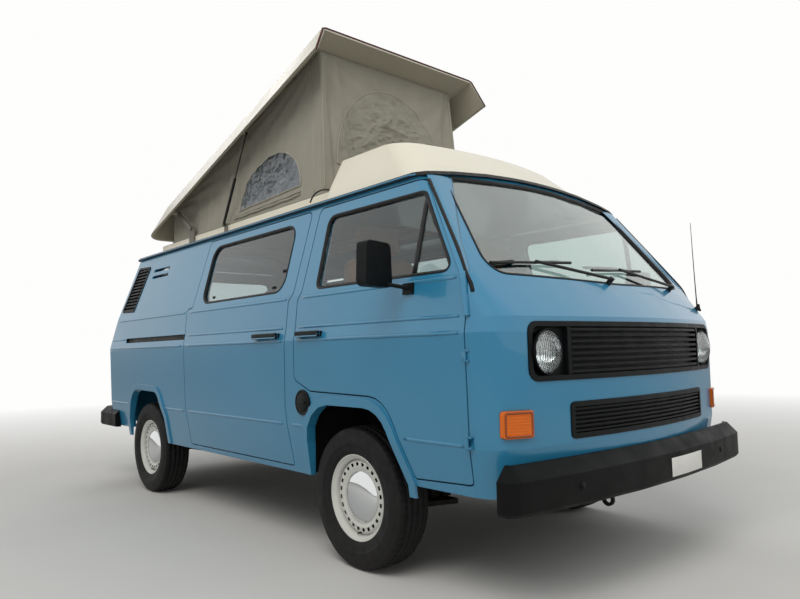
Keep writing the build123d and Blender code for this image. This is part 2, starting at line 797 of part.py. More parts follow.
def chassis():
    """Two frame rails with cross members and outriggers under the floor."""
    rail = block(380, 440, RAIL_FRONT, RAIL_REAR, 352, 410)
    rails = both(rail)
    for y in (-1480, -780, 0, 820):
        rails += block(-440, 440, y - 30, y + 30, 356, 406)
    for y in (-760, 0, 780):
        rails += both(block(440, 828, y - 22, y + 22, 366, 406))
    return rails


def front_axle():
    """Front cross tube with an upper and a lower arm on each side."""
    beam = rod_x(-330, 330, FRONT_AXLE_Y, 290, 42, 12)
    beam += both(block(300, 430, FRONT_AXLE_Y - 50, FRONT_AXLE_Y + 50, 250, 352 - SEAT))
    lower = prism_z([(340, FRONT_AXLE_Y - 150, 10), (KINGPIN_X - 34, FRONT_AXLE_Y - 16, 10),
                     (KINGPIN_X - 34, FRONT_AXLE_Y + 16, 10), (340, FRONT_AXLE_Y + 110, 10)], 232, 256)
    upper = prism_z([(350, FRONT_AXLE_Y - 70, 10), (KINGPIN_X - 34, FRONT_AXLE_Y - 14, 10),
                     (KINGPIN_X - 34, FRONT_AXLE_Y + 14, 10), (350, FRONT_AXLE_Y + 70, 10)], 418, 436)
    hanger = block(340, 372, FRONT_AXLE_Y - 70, FRONT_AXLE_Y + 70, 256, 418)
    joint = rod_between((KINGPIN_X, FRONT_AXLE_Y, 232), (KINGPIN_X, FRONT_AXLE_Y, 256), 18)
    joint += rod_between((KINGPIN_X, FRONT_AXLE_Y, 418), (KINGPIN_X, FRONT_AXLE_Y, 436), 18)
    bars = block(KINGPIN_X - 40, KINGPIN_X - 10, FRONT_AXLE_Y - 12, FRONT_AXLE_Y + 12, 234, 254)
    bars += block(KINGPIN_X - 40, KINGPIN_X - 10, FRONT_AXLE_Y - 11, FRONT_AXLE_Y + 11, 420, 434)
    return beam + both(lower + upper + hanger + joint + bars)


def knuckle(sign):
    """Steering knuckle between the arm ends, with the wheel's spindle."""
    post = block(KINGPIN_X - 15, KINGPIN_X + 15, FRONT_AXLE_Y - 20, FRONT_AXLE_Y + 20,
                 256 + SEAT, 418 - SEAT)
    flange_x = TRACK / 2 - 32
    flange = rod_x(KINGPIN_X + 10, flange_x, FRONT_AXLE_Y, HUB_Z, 52, 12)
    spindle = rod_x(flange_x - 1, TRACK / 2 + DISC_X - 4, FRONT_AXLE_Y, HUB_Z, SPINDLE_R)
    arm = block(KINGPIN_X - 12, KINGPIN_X + 12, FRONT_AXLE_Y + 10, FRONT_AXLE_Y + 110, 300, 322)
    piece = post + flange + spindle + arm
    return piece if sign > 0 else mirror(piece, about=Plane.YZ)


def rear_axle():
    """Cross tube, trailing arms, drive shafts and hubs of the rear wheels."""
    tube = rod_x(-480, 480, REAR_AXLE_Y - 400, 312, 30, 8)
    arm = prism_x([(REAR_AXLE_Y - 430, 286, 10), (REAR_AXLE_Y - 430, 338, 10), (REAR_AXLE_Y + 70, 366, 20),
                   (REAR_AXLE_Y + 70, 270, 20)], 500, 560)
    arm += rod_x(470, 510, REAR_AXLE_Y - 400, 312, 30, 8)
    shaft = rod_x(150, TRACK / 2 - 36, REAR_AXLE_Y, HUB_Z, 18, 8)
    hub = rod_x(560, TRACK / 2 - 36, REAR_AXLE_Y, HUB_Z, 52, 12)
    spindle = rod_x(TRACK / 2 - 40, TRACK / 2 + DISC_X - 4, REAR_AXLE_Y, HUB_Z, SPINDLE_R)
    posts = block(400, 430, REAR_AXLE_Y - 420, REAR_AXLE_Y - 380, 312, 352 - SEAT)
    return tube + both(arm + shaft + hub + spindle + posts)


def rim():
    """Pressed steel wheel about the X axis, its face towards +X, with a domed cap."""
    half = RIM_W / 2
    inside = BEAD_R - SHEET
    barrel = turned([(-half, RIM_R), (-half + 10, BEAD_R), (half - 10, BEAD_R), (half, RIM_R)], RIM_SIDES)
    front_room = turned([(DISC_X, inside), (half - 12, inside), (half + 1, RIM_R - 6)], RIM_SIDES)
    back_room = turned([(-half - 1, RIM_R - 6), (-half + 12, inside), (DISC_X - 8, inside)], RIM_SIDES)
    wheel = barrel - front_room - back_room - rod_x(0, 100, 0, 0, SPINDLE_R + RUNNING_FIT)
    hole = Pos(DISC_X - 4, 0, HOLE_RING_R) * Box(20, 20, 10)
    for i in range(RIM_HOLES):
        wheel -= Rot(360 / RIM_HOLES * (i + 0.5), 0, 0) * hole
    seat_x = DISC_X + SEAT
    turns = [pi / 2 * i / 3 for i in range(3)]
    dome = [(seat_x + CAP_DOME * sin(turn), CAP_R * cos(turn)) for turn in turns]
    return wheel, turned([*dome, (seat_x + CAP_DOME, 10)], CAP_SIDES)


def tyre():
    """Tyre about the X axis, with a flat tread and bulged walls."""
    half = TYRE_W / 2
    bead_x = RIM_W / 2 - 12 - SEAT
    side = [(bead_x, BEAD_R + 3), (half, (RIM_R + TYRE_R) / 2 - 4), (half - 12, TYRE_R - 14),
            (half - 30, TYRE_R)]
    outline = [(-x, r) for x, r in side] + side[::-1]
    hole = turned([(-half, BEAD_R + SEAT), (half, BEAD_R + SEAT)], TYRE_SIDES)
    return turned(outline, TYRE_SIDES) - hole


def place_wheel(piece, sign, axle_y):
    """Wheel piece at its hub, its face outwards."""
    turned = piece if sign > 0 else mirror(piece, about=Plane.YZ)
    return Pos(sign * TRACK / 2, axle_y, HUB_Z) * turned


def roof_frame(roof):
    """Gutter-height frame of the roof with the hatch cut."""
    hole = block(-HATCH_HALF, HATCH_HALF, HATCH_FRONT, HATCH_REAR, 1600, 1900)
    return largest(roof - hole)


def deck_outline(lower):
    """Half-section corners of the roof deck, moved down and in by its skin."""
    edge = GUTTER_Z + 4
    corners = [(DECK_HALF, DECK_TOP), (DECK_HALF, LEDGE_Z), (752, edge + 10)]
    return [(x - lower, z - lower) for x, z in corners]


def roof_plan(inset):
    """Column over the roof's plan at gutter height, moved in by an inset."""
    _, half, front, f_bow, f_corner, rear, r_bow, r_corner = SECTIONS[-1]
    return stacked([plan_ring(z, half - inset, front + inset, f_bow - inset, f_corner - inset,
                              rear - inset, r_bow - inset, r_corner - inset) for z in (1600, 2200)])


def roof_deck():
    """Moulded deck round the roof hatch, with an upstand and a sloping ledge."""
    outer = deck_outline(0)
    shape = prism_y(
        [(x, z, r) for (x, z), r in zip(outer, (8, 0, 4))] + [(752, 1700, 0), (-752, 1700, 0)]
        + [(-x, z, r) for (x, z), r in zip(reversed(outer), (4, 0, 8))],
        DECK_FRONT, DECK_REAR)
    shape &= roof_plan(6)
    inner = [(DECK_HALF - DECK_SKIN, DECK_TOP - DECK_SKIN), (DECK_HALF - DECK_SKIN, LEDGE_Z - DECK_SKIN)]
    inner.append((DECK_HALF - DECK_SKIN, 1700))
    hollow = prism_y([(x, z, 0) for x, z in inner] + [(-x, z, 0) for x, z in reversed(inner)],
                     DECK_FRONT + 40, UPSTAND_REAR - 40)
    behind = block(-700, 700, UPSTAND_REAR, DECK_REAR + 100, LEDGE_Z, 2000)
    hatch = block(-HATCH_HALF, HATCH_HALF, HATCH_FRONT, HATCH_REAR, 1600, 2000)
    shape = shape - crown_top(0) - hollow - hatch - behind
    return largest(shape)


def luggage_tray():
    """Open tray over the cab, its nose sloping down to the windscreen."""
    z0 = GUTTER_Z - 30

    def ring(z, half, front, bow, corner_r, inset):
        return plan_ring(z, half - inset, front + inset, bow - inset, corner_r - inset,
                         DECK_FRONT - 12 - inset - (z - z0) * 0.12, 9000, 70)

    outer = stacked([ring(z0, 748, -1668, 3900, 150, 0), ring(1860, 700, -1562, 3000, 170, 0),
                     ring(TRAY_RIM_Z, 628, -1388, 2200, 150, 0)])
    inner = stacked([ring(1890, 700, -1562, 3000, 170, TRAY_WALL + 25),
                     ring(TRAY_RIM_Z + 1, 628, -1388, 2200, 150, TRAY_WALL)])
    tray = outer - inner - crown_top(0)
    return largest(tray)


def open_pose(point):
    """Rest place of a point of the closed lid, in y and z."""
    turn = radians(-LID_OPEN)
    y, z = point
    return (y * cos(turn) - z * sin(turn) + LID_SHIFT[0], y * sin(turn) + z * cos(turn) + LID_SHIFT[1])


def raised(shape):
    """Closed lid piece turned nose up to its open place."""
    return Pos(0, LID_SHIFT[0], LID_SHIFT[1]) * Rot(-LID_OPEN, 0, 0) * shape


def lid_ring(z, half, rear, inset, z_shift=0):
    """Plan section of the lid, square in front and round behind, in chords."""
    r = LID_CORNER_R - inset
    x, y = half - inset, rear - inset
    turns = [pi / 2 * i / CORNER_STEPS for i in range(CORNER_STEPS + 1)]
    corner_points = [(x - r + r * cos(turn), y - r + r * sin(turn)) for turn in turns]
    left = [(x, LID_FRONT), *corner_points]
    right = [(-px, py) for px, py in reversed(left)]
    return [(px, py, z + z_shift) for px, py in left + right]


def lid_shell():
    """Inverted pan, open in front, with sloping sides and tail, in its closed place."""
    outer = stacked([lid_ring(LID_RIM, LID_RIM_HALF, LID_RIM_REAR, 0),
                     lid_ring(LID_TOP - 12, LID_HALF + 6, LID_REAR + 10, 0),
                     lid_ring(LID_TOP, LID_HALF - 14, LID_REAR - 10, 0)])
    top = LID_TOP - LID_SKIN
    inner = stacked([lid_ring(LID_RIM, LID_RIM_HALF, LID_RIM_REAR, LID_SKIN + 2, -1),
                     lid_ring(top, LID_HALF + 6, LID_REAR + 10, LID_SKIN + 2)])
    inner = inner + (Pos(0, -60, 0) * inner)
    return outer - inner


def roof_lid():
    """Lid with the ears and pins that its arms and struts hold."""
    lid = lid_shell()
    for (y, z), r in ((ARM_EYE_CLOSED, 13), (STRUT_EYE_CLOSED, 12)):
        reach = LID_HALF + (LID_TOP - z) * 0.5 - LID_SKIN + 6
        lid += both(rod_x(STRUT_X + 13, reach, y, z, r))
    y, z = ARM_EYE_CLOSED
    lid += both(rod_x(ARM_X - 2, STRUT_X + 16, y, z, PIN_R))
    return raised(lid)


def roof_arms():
    """Pair of flat arms between the deck brackets and the lid, in the open place."""
    foot, eye = ARM_FOOT, open_pose(ARM_EYE_CLOSED)
    angle = degrees(atan2(eye[1] - foot[1], eye[0] - foot[0]))
    length = hypot(eye[0] - foot[0], eye[1] - foot[1])
    bar = Box(ARM_T, length, ARM_H) + Pos(0, -length / 2, 0) * Rot(0, 90, 0) * Cylinder(ARM_H / 2, ARM_T)
    bar += Pos(0, length / 2, 0) * Rot(0, 90, 0) * Cylinder(ARM_H / 2, ARM_T)
    bar -= Pos(0, length / 2, 0) * Rot(0, 90, 0) * Cylinder(PIN_R + RUNNING_FIT, 40)
    arm = Pos(ARM_X + ARM_T / 2, foot[0], foot[1]) * Rot(angle, 0, 0) * Pos(0, length / 2, 0) * bar
    arm += rod_x(DECK_HALF + 2, ARM_X + 2, foot[0], foot[1], PIN_R)
    return both(arm)


def lid_brackets():
    """Brackets on the deck for the arms and the struts' feet."""
    y, z = ARM_FOOT
    low = LEDGE_Z + SEAT
    plate = prism_x([(y - 42, low, 0), (y - 42, z + 14, 30), (y + 42, z + 14, 30), (y + 42, low, 0)],
                    DECK_HALF + SEAT, DECK_HALF + 12)
    plate -= rod_x(DECK_HALF - 20, DECK_HALF + 40, y, z, PIN_R + RUNNING_FIT)
    y, z = STRUT_FOOT
    foot = prism_x([(y - 24, low, 0), (y - 18, z + 12, 8), (y + 18, z + 12, 8), (y + 24, low, 0)],
                   DECK_HALF + SEAT, DECK_HALF + 9)
    foot += rod_x(DECK_HALF + 8, STRUT_X + 4, y, z, PIN_R)
    return both(plate + foot)


def strut_parts():
    """Gas strut cylinders and rods, in the open place."""
    foot, eye = STRUT_FOOT, open_pose(STRUT_EYE_CLOSED)
    angle = degrees(atan2(eye[1] - foot[1], eye[0] - foot[0]))
    length = hypot(eye[0] - foot[0], eye[1] - foot[1])
    tube = CLOSED_STRUT - 21
    bore = ROD_R + RUNNING_FIT
    cylinder = rod_between((0, 8, 0), (0, tube + 8, 0), STRUT_R, 12)
    cylinder += rod_between((-4, 0, 0), (4, 0, 0), 13, 12)
    cylinder -= rod_between((0, 18, 0), (0, tube + 10, 0), bore)
    cylinder -= rod_between((-20, 0, 0), (20, 0, 0), PIN_R + RUNNING_FIT)
    rod_start = length - CLOSED_STRUT + 24
    rod = rod_between((0, rod_start, 0), (0, length, 0), ROD_R, 10)
    rod += rod_between((-5, length, 0), (5, length, 0), 11, 12)
    place = Pos(STRUT_X, foot[0], foot[1]) * Rot(angle, 0, 0)
    return both(place * cylinder), both(place * rod)


def tent():
    """Canvas walls between the deck and the raised lid."""
    z0 = DECK_TOP + SEAT
    inner_top = LID_TOP - LID_SKIN - 1

    def hull(cut):
        front_foot = (TENT_FRONT[0] + cut, z0 - cut * 2)
        front_head = open_pose((TENT_FRONT[1] + cut, inner_top + cut * 2))
        rear_head = open_pose((TENT_REAR + 20 - cut, inner_top + cut * 2))
        rear_foot = (TENT_REAR - cut, z0 - cut * 2)
        profile = [(y, z, 0) for y, z in (front_foot, front_head, rear_head, rear_foot)]
        body = prism_x(profile, -700, 700)
        lean = (TENT_BASE_HALF - TENT_TOP_HALF) / (2749 - DECK_TOP)
        base, head = TENT_BASE_HALF - cut, TENT_BASE_HALF - cut - lean * 1100
        low, high = z0 - 10, z0 + 1100
        sides = prism_y([(-base, low, 0), (-head, high, 0), (head, high, 0), (base, low, 0)], -800, 1700)
        return body & sides

    return largest(hull(0) - hull(TENT_T))


def dashboard():
    """Dashboard across the cab under the windscreen."""
    outline = [(-2100, 1080, 20), (-2060, 1235, 30), (-1850, 1235, 40), (-1770, 1150, 30), (-1800, 960, 40),
               (-1960, 940, 30)]
    piece = prism_x(outline, -840, 840)
    binnacle = [(-1910, 1225, 0), (-1900, 1285, 15), (-1825, 1285, 15), (-1800, 1140, 0), (-1850, 1150, 0)]
    pod = prism_x(binnacle, 200, 600)
    column = wheel_place() * extrude(RegularPolygon(COLUMN_R + SEAT, 12), -COLUMN_L)
    return largest(((piece + pod) & form(-WALL - 1)) - column)


def wheel_place():
    """Place and tilt of the steering wheel."""
    return Pos(400, -1610, 1185) * Rot(-28, 0, 0)


def steering_wheel():
    """Flat steering wheel on its column, on the van's left."""
    ring = extrude(RegularPolygon(205, 32) - RegularPolygon(182, 32), 10, both=True)
    hub = extrude(RegularPolygon(60, 12), 13, both=True)
    spokes = Box(380, 34, 12) + Pos(0, 95, 0) * Box(34, 190, 12)
    column = extrude(RegularPolygon(COLUMN_R, 12), -COLUMN_L)
    whole = wheel_place() * (ring + hub + spokes + column)
    return whole - block(0, 900, -2300, -1000, 0, FOOTWELL_Z + SEAT)


def cab_seats():
    """Two cab seats on pedestals, each with a headrest."""
    base = block(240, 680, -1420, -1000, PLATFORM_Z + SEAT, 900)
    cushion = prism_x([(-1480, 900, 20), (-1490, 1010, 50), (-1010, 1000, 40), (-1000, 900, 20)], 215, 705)
    back = prism_x([(-1100, 950, 30), (-1010, 1480, 50), (-900, 1480, 50), (-980, 950, 30)], 225, 695)
    head = prism_x([(-1000, 1500, 30), (-980, 1650, 30), (-890, 1650, 30), (-900, 1500, 30)], 330, 590)
    posts = block(400, 416, -955, -939, 1470, 1510) + block(504, 520, -955, -939, 1470, 1510)
    return both(base + cushion + back + head + posts)


def rear_bench():
    """Folding bench across the back of the living space."""
    step_y = REAR_AXLE_Y - TYRE_R - 46
    low, high = LIVING_Z + SEAT, DECK_Z + SEAT
    seat = prism_x([(560, low, 10), (560, 900, 60), (1090, 860, 30), (1090, high, 0), (step_y, high, 0),
                    (step_y, low, 0)], -640, 300)
    back = prism_x([(1000, 862, 20), (1090, 1330, 50), (1190, 1330, 50), (1160, high, 20)], -640, 300)
    mattress = block(-640, 400, 1240, 1900, DECK_Z + SEAT, 900)
    return largest(seat + back) + (mattress & form(-WALL - 15))


def cabinet():
    """Kitchen cabinet along the left side, with a sink in its top."""
    z0 = LIVING_Z + SEAT
    box = block(420, 800, -700, 550, z0, 1240)
    worktop = block(400, 812, -710, 560, 1240, 1262)
    sink = Pos(610, -380, 1240) * Box(300, 380, 140)
    tall = block(420, 760, 1180, 1780, DECK_Z + SEAT, 1560)
    return (box + worktop - sink) + (tall & form(-WALL - 15))


def fuel_tank():
    """Flat fuel tank between the rails behind the front axle."""
    tank = block(-370, 370, -740, -60, 300, LIVING_Z - PLATE - SEAT)
    return fillet(tank.edges().filter_by(Axis.Z), 40)


def engine_block():
    """Engine and gearbox as plain blocks in their real place."""
    engine = block(-330, 330, 1420, 2010, 345, 740)
    gearbox = block(-130, 130, 900, 1420, 340, 560)
    sump = block(-160, 160, 1450, 1950, 250, 345)
    bearers = both(block(325, 380, 1800, 1860, 360, 400))
    return engine + gearbox + sump + bearers


def exhaust():
    """Silencer across the tail with its tail pipe."""
    silencer = rod_x(-340, 240, 2085, 365, 58, 12)
    strap = block(60, 90, 2010 + SEAT, 2040, 350, 400)
    pipe = rod_between((-330, 2085, PIPE_Z), (-480, 2085, PIPE_Z), 22, 10)
    pipe += rod_between((-470, 2065, PIPE_Z), (-470, 2215, PIPE_Z - 8), 22, 10)
    return silencer + strap + pipe


def spare_wheel():
    """Spare wheel in its pan under the nose."""
    def disc(z0, z1, r):
        return rod_between((0, SPARE_Y, z0), (0, SPARE_Y, z1), r, 32)

    pan = disc(348, 406, 302) - disc(352, 410, 296)
    wheel = disc(352 + SEAT, 456, 286)
    hangers = both(block(290, 380 - SEAT, SPARE_Y - 35, SPARE_Y + 35, 362, 386))
    return pan + (hangers - disc(340, 500, 299)) + wheel


def fuel_flap():
    """Round fuel filler cap on the right side."""
    return skin(4, -3) & flap_disc(FLAP_R)


def wipers():
    """Two wiper arms with blades lying on the windscreen."""
    parts = None
    for pivot_x, tip_x in WIPERS:
        y, z = front_y(pivot_x, WIPER_Z), WIPER_Z
        spindle = rod_between((pivot_x, y + 20, z - 20), (pivot_x, y - 26, z + 26), 12, 12)
        tip = (tip_x, front_y(tip_x, BLADE_Z) - 13, BLADE_Z)
        arm = rod_between((pivot_x, y - 22, z + 20), tip, 7, 6)
        ends = [(tip_x + reach, front_y(tip_x + reach, BLADE_Z + rise) - 8 - SEAT, BLADE_Z + rise)
                for reach, rise in ((-255, -20), (235, 8))]
        blade = rod_between(ends[0], ends[1], 7, 6)
        piece = spindle + arm + blade
        parts = piece if parts is None else parts + piece
    return parts - form(SEAT)


def front_y(x, z):
    """Outer face of the nose or windscreen at one place."""
    low, high = next((a, b) for a, b in zip(SECTIONS, SECTIONS[1:]) if a[0] <= z <= b[0])
    share = (z - low[0]) / (high[0] - low[0])
    front = low[2] + (high[2] - low[2]) * share
    bow = low[3] + (high[3] - low[3]) * share
    return front + bow - sqrt(bow ** 2 - x ** 2)


def write(name, shape):
    """One STEP file of a sub-part."""
    solids = shape.solids()
    export_step(solids[0] if len(solids) == 1 else Compound(solids), f"parts/{name}.step")


def main():
    """Make every sub-part and write it."""
    os.makedirs("parts", exist_ok=True)
    shell = body_shell()
    front, right, left, rear, roof = make_walls(shell)
    write("front_panel", largest(front_panel(front) + door_hinges(-1, False) + door_hinges(1, False)))
    write("side_wall_right", largest(side_wall(right, -1)))
    write("side_wall_left", largest(side_wall(left, 1)))
    tail_hole = prism_y(grown(TAILGATE, GAP / 2), 1500, 2400)
    gate_z = TAILGATE[0][1]
    pin = rod_between((0, GATE_STRIKER_Y, gate_z - 12), (0, GATE_STRIKER_Y, gate_z + 16), 5, 8)
    write("rear_frame", largest(rear - tail_hole - lamp_holes() + pin + gate_hinges(False)))
    write("roof_frame", roof_frame(roof))
    write("roof_deck", roof_deck())
    write("luggage_tray", luggage_tray())
    write("drip_rails", drip_rails())
    write("body_glass", windscreen_glass())
    write("sliding_door", door_panel(shell, SLIDING_DOOR, -1, SIDE_WINDOW) + handle(-670, -420, -1))
    write("front_grilles", front_grilles())
    write("headlamps", headlamps())
    write("indicators", indicators())
    write("front_bumper", front_bumper())
    write("rear_bumper", rear_bumper())
    write("tail_lamps", tail_lamps())
    write("rear_vents", rear_vents())
    write("wipers", wipers())
    write("dashboard", dashboard())
    write("steering_wheel", steering_wheel())
    write("cab_seats", cab_seats())
    write("rear_bench", rear_bench())
    write("cabinet", cabinet())
    write("floor_pan", floor_pan())
    write("wheel_wells", wheel_wells())
    write("chassis", chassis())
    write("front_axle", front_axle())
    write("rear_axle", rear_axle())
    write("fuel_tank", fuel_tank())
    write("engine_block", engine_block())
    write("exhaust", exhaust())
    write("spare_wheel", spare_wheel())
    write("fuel_flap", fuel_flap())
    write("lid_brackets", lid_brackets())
    write("tent", tent())
    for side, sign in (("right", -1), ("left", 1)):
        panel = door_panel(shell, FRONT_DOOR, sign, FRONT_WINDOW) + handle(-1056, -856, sign)
        write(f"door_{side}", panel + door_hinges(sign, True))
        write(f"door_glass_{side}", glass_pane(FRONT_WINDOW, sign))
        write(f"mirror_{side}", make_mirror(sign))
        write(f"knuckle_{side}", knuckle(sign))
    gate = shell & prism_y(grown(TAILGATE, -GAP / 2), 1500, 2400)
    gate = largest(bounded(gate, y=(1700, 2400)) - prism_y(REAR_WINDOW, 1500, 2400))
    room = block(-12, 12, 1900, GATE_STRIKER_Y + 5 + SEAT, gate_z - 5, gate_z + 20)
    write("tailgate", largest(gate - room + gate_hinges(True)))
    pane = skin(-12, -17) & prism_y(grown(REAR_WINDOW, -SEAT), 1500, 2400)
    write("tailgate_glass", largest(pane))
    wheel, cap = rim()
    rubber = tyre()
    for name, sign, axle_y in (("front_right", -1, FRONT_AXLE_Y), ("front_left", 1, FRONT_AXLE_Y),
                               ("rear_right", -1, REAR_AXLE_Y), ("rear_left", 1, REAR_AXLE_Y)):
        placed = [place_wheel(piece, sign, axle_y) for piece in (wheel, cap)]
        write(f"rim_{name}", Compound([*placed[0].solids(), *placed[1].solids()]))
        write(f"tyre_{name}", place_wheel(rubber, sign, axle_y))
    write("roof_lid", roof_lid())
    write("roof_arms", roof_arms())
    cylinders, rods = strut_parts()
    write("strut_cylinders", cylinders)
    write("strut_rods", rods)


main()
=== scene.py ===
from math import atan2, cos, exp, hypot, pi, radians, sin, tan

import bmesh
import bpy
from mathutils import Matrix, Vector, noise
from mathutils.bvhtree import BVHTree


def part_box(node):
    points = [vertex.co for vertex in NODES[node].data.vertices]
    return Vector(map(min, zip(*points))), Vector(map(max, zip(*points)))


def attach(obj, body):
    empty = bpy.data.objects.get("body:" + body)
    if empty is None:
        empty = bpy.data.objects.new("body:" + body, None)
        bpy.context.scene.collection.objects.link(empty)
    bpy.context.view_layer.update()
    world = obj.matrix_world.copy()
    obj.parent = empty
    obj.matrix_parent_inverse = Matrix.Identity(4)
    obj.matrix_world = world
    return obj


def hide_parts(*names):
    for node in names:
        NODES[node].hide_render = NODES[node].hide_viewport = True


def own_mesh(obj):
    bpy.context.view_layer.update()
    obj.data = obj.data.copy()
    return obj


# Camper van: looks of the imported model, in metres, nose towards -Y, the van's left towards +X.

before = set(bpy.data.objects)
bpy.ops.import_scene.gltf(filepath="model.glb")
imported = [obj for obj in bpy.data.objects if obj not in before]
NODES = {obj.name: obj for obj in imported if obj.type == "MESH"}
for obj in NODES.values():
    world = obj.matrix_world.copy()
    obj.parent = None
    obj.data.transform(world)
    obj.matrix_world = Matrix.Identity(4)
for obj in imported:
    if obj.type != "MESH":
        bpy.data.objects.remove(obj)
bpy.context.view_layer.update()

# Sizes that repeat those of the model. A window's corners are two coordinates and a radius, as seen
# from the side or the front.
TRACK = 1.57
AXLES = {"front": -1.235, "rear": 1.226}
TYRE_R = 0.32
DECK_TOP = 1.8853
FRONT_WINDOW = [(-1.912, 1.294, 0.025), (-1.664, 1.664, 0.04), (-0.967, 1.668, 0.045), (-0.977, 1.3, 0.035)]
SIDE_WINDOW = [(-0.662, 1.31, 0.078), (-0.662, 1.676, 0.078), (0.316, 1.676, 0.078), (0.316, 1.31, 0.078)]
WINDSCREEN = [(-0.772, 1.286, 0.06), (-0.655, 1.752, 0.07), (0, 1.782, 3.0),
              (0.655, 1.752, 0.07), (0.772, 1.286, 0.06), (0, 1.268, 3.0)]
REAR_WINDOW = [(-0.545, 1.275, 0.07), (-0.5, 1.64, 0.07), (0.5, 1.64, 0.07), (0.545, 1.275, 0.07)]
LAMP_X, LAMP_Z, LAMP_R = 0.645, 0.969, 0.084
MIRROR = (1.046, -1.62, 1.336)
SIDES = (("right", -1), ("left", 1))
PATCH_DETAIL = 5.0
PLASTIC = "black_plastic"


def rgb(code):
    """Linear colour from a hex code."""
    values = [int(code[i:i + 2], 16) / 255 for i in (0, 2, 4)]
    return [((c + 0.055) / 1.055) ** 2.4 if c > 0.04045 else c / 12.92 for c in values] + [1.0]


def tint(color, factor):
    """Colour made lighter or darker."""
    return [min(1.0, c * factor) for c in color[:3]] + [1.0]


def feed(tree, made, inputs):
    """A node with its inputs, by name or number, set to values or linked to sockets."""
    for key, value in inputs.items():
        if isinstance(value, bpy.types.NodeSocket):
            tree.links.new(value, made.inputs[key])
        else:
            made.inputs[key].default_value = value
    return made


def add(tree, kind, inputs=None, **values):
    """New node of a kind, with its inputs fed and its properties set."""
    made = tree.nodes.new(kind)
    for key, value in values.items():
        setattr(made, key, value)
    return feed(tree, made, inputs or {})


class Surface:
    """A material under construction: its node tree, shader and object coordinates."""

    def __init__(self, name, color, rough, metal=0.0, coat=0.0, coat_rough=0.04, clear=0.0, ior=1.5,
                 sheen=0.0, specular=0.5):
        self.material = bpy.data.materials.new(name)
        self.material.use_nodes = True
        self.tree = self.material.node_tree
        self.coord = self.node("ShaderNodeTexCoord").outputs["Object"]
        self.color = rgb(color)
        self.rough = rough
        self.height = None
        self.shader = feed(self.tree, self.tree.nodes["Principled BSDF"], {
            "Base Color": self.color, "Roughness": rough, "Metallic": metal, "Coat Weight": coat,
            "Coat Roughness": coat_rough, "Transmission Weight": clear, "IOR": ior,
            "Sheen Weight": sheen, "Specular IOR Level": specular})

    def node(self, kind, inputs=None, **values):
        return add(self.tree, kind, inputs, **values)

    def axes(self):
        """The three object coordinates, apart."""
        return self.node("ShaderNodeSeparateXYZ", {0: self.coord}).outputs

    def noise(self, scale, detail, stretch=None):
        """Noise output at a scale, drawn out along axes by a stretch."""
        source = self.coord
        if stretch:
            source = self.node("ShaderNodeMapping", {"Vector": source, "Scale": stretch}).outputs[0]
        return self.node("ShaderNodeTexNoise",
                         {"Vector": source, "Scale": scale, "Detail": detail}).outputs["Fac"]

    def math(self, operation, *values, clamp=False):
        return self.node("ShaderNodeMath", dict(enumerate(values)), operation=operation,
                         use_clamp=clamp).outputs[0]

    def ramp(self, *values):
        """A value taken from between two bounds to between two others."""
        return self.node("ShaderNodeMapRange", dict(enumerate(values))).outputs[0]

    def mix(self, share, a, b):
        return self.node("ShaderNodeMix", {0: share, 6: a, 7: b}, data_type="RGBA").outputs[2]

    def vary(self, spread, scale, rough_spread):
        """Uneven colour and gloss."""
        patches = self.ramp(self.noise(scale, PATCH_DETAIL), 0.3, 0.7, 0, 1)
        self.tone = self.mix(patches, tint(self.color, 1 - spread), tint(self.color, 1 + spread))
        gloss = self.ramp(self.noise(scale * 3.1, PATCH_DETAIL), 0.3, 0.7,
                          max(self.rough - rough_spread, 0), min(self.rough + rough_spread, 1))
        feed(self.tree, self.shader, {"Base Color": self.tone, "Roughness": gloss})
        return self

    def layer(self, share, color):
        """Another colour over the present one by a share."""
        self.tone = self.mix(share, self.tone, rgb(color))
        feed(self.tree, self.shader, {"Base Color": self.tone})
        return self

    def dust(self, top, amount, color="857a6a"):
        """Road dust that fades out towards a height."""
        share = self.ramp(self.axes()[2], 0, top, amount, 0)
        return self.layer(self.math("MULTIPLY", share, self.noise(9, 6), clamp=True), color)

    def relief(self, height, depth):
        """Adds a height field of a depth in metres to the bump."""
        scaled = self.math("MULTIPLY", height, depth)
        self.height = scaled if self.height is None else self.math("ADD", self.height, scaled)
        return self

    def grain(self, scale, depth, detail=3.0, stretch=None):
        return self.relief(self.noise(scale, detail, stretch), depth)

    def wave(self, level, pitch):
        """Sine of a coordinate, one every pitch."""
        return self.math("SINE", self.math("MULTIPLY", level, 2 * pi / pitch))

    def ribs(self, axis, pitch, depth):
        """Straight ribs across an axis, one every pitch."""
        return self.relief(self.wave(self.axes()[axis], pitch), depth)

    def weave(self, pitch, depth):
        """Crossing threads that show on walls facing any side."""
        x, y, z = self.axes()
        across = self.wave(self.math("ADD", x, y), pitch)
        return self.relief(self.math("MULTIPLY", across, self.wave(z, pitch)), depth)

    def done(self, edge=0.0):
        """Connects the bump, over edges rounded in shading by a radius."""
        normal = {}
        if edge:
            normal = {"Normal": self.node("ShaderNodeBevel", {"Radius": edge}, samples=4).outputs[0]}
        if self.height is not None:
            bump = self.node("ShaderNodeBump",
                             {"Strength": 1, "Distance": 1, "Height": self.height, **normal})
            normal = {"Normal": bump.outputs[0]}
        feed(self.tree, self.shader, normal)
        return self.material


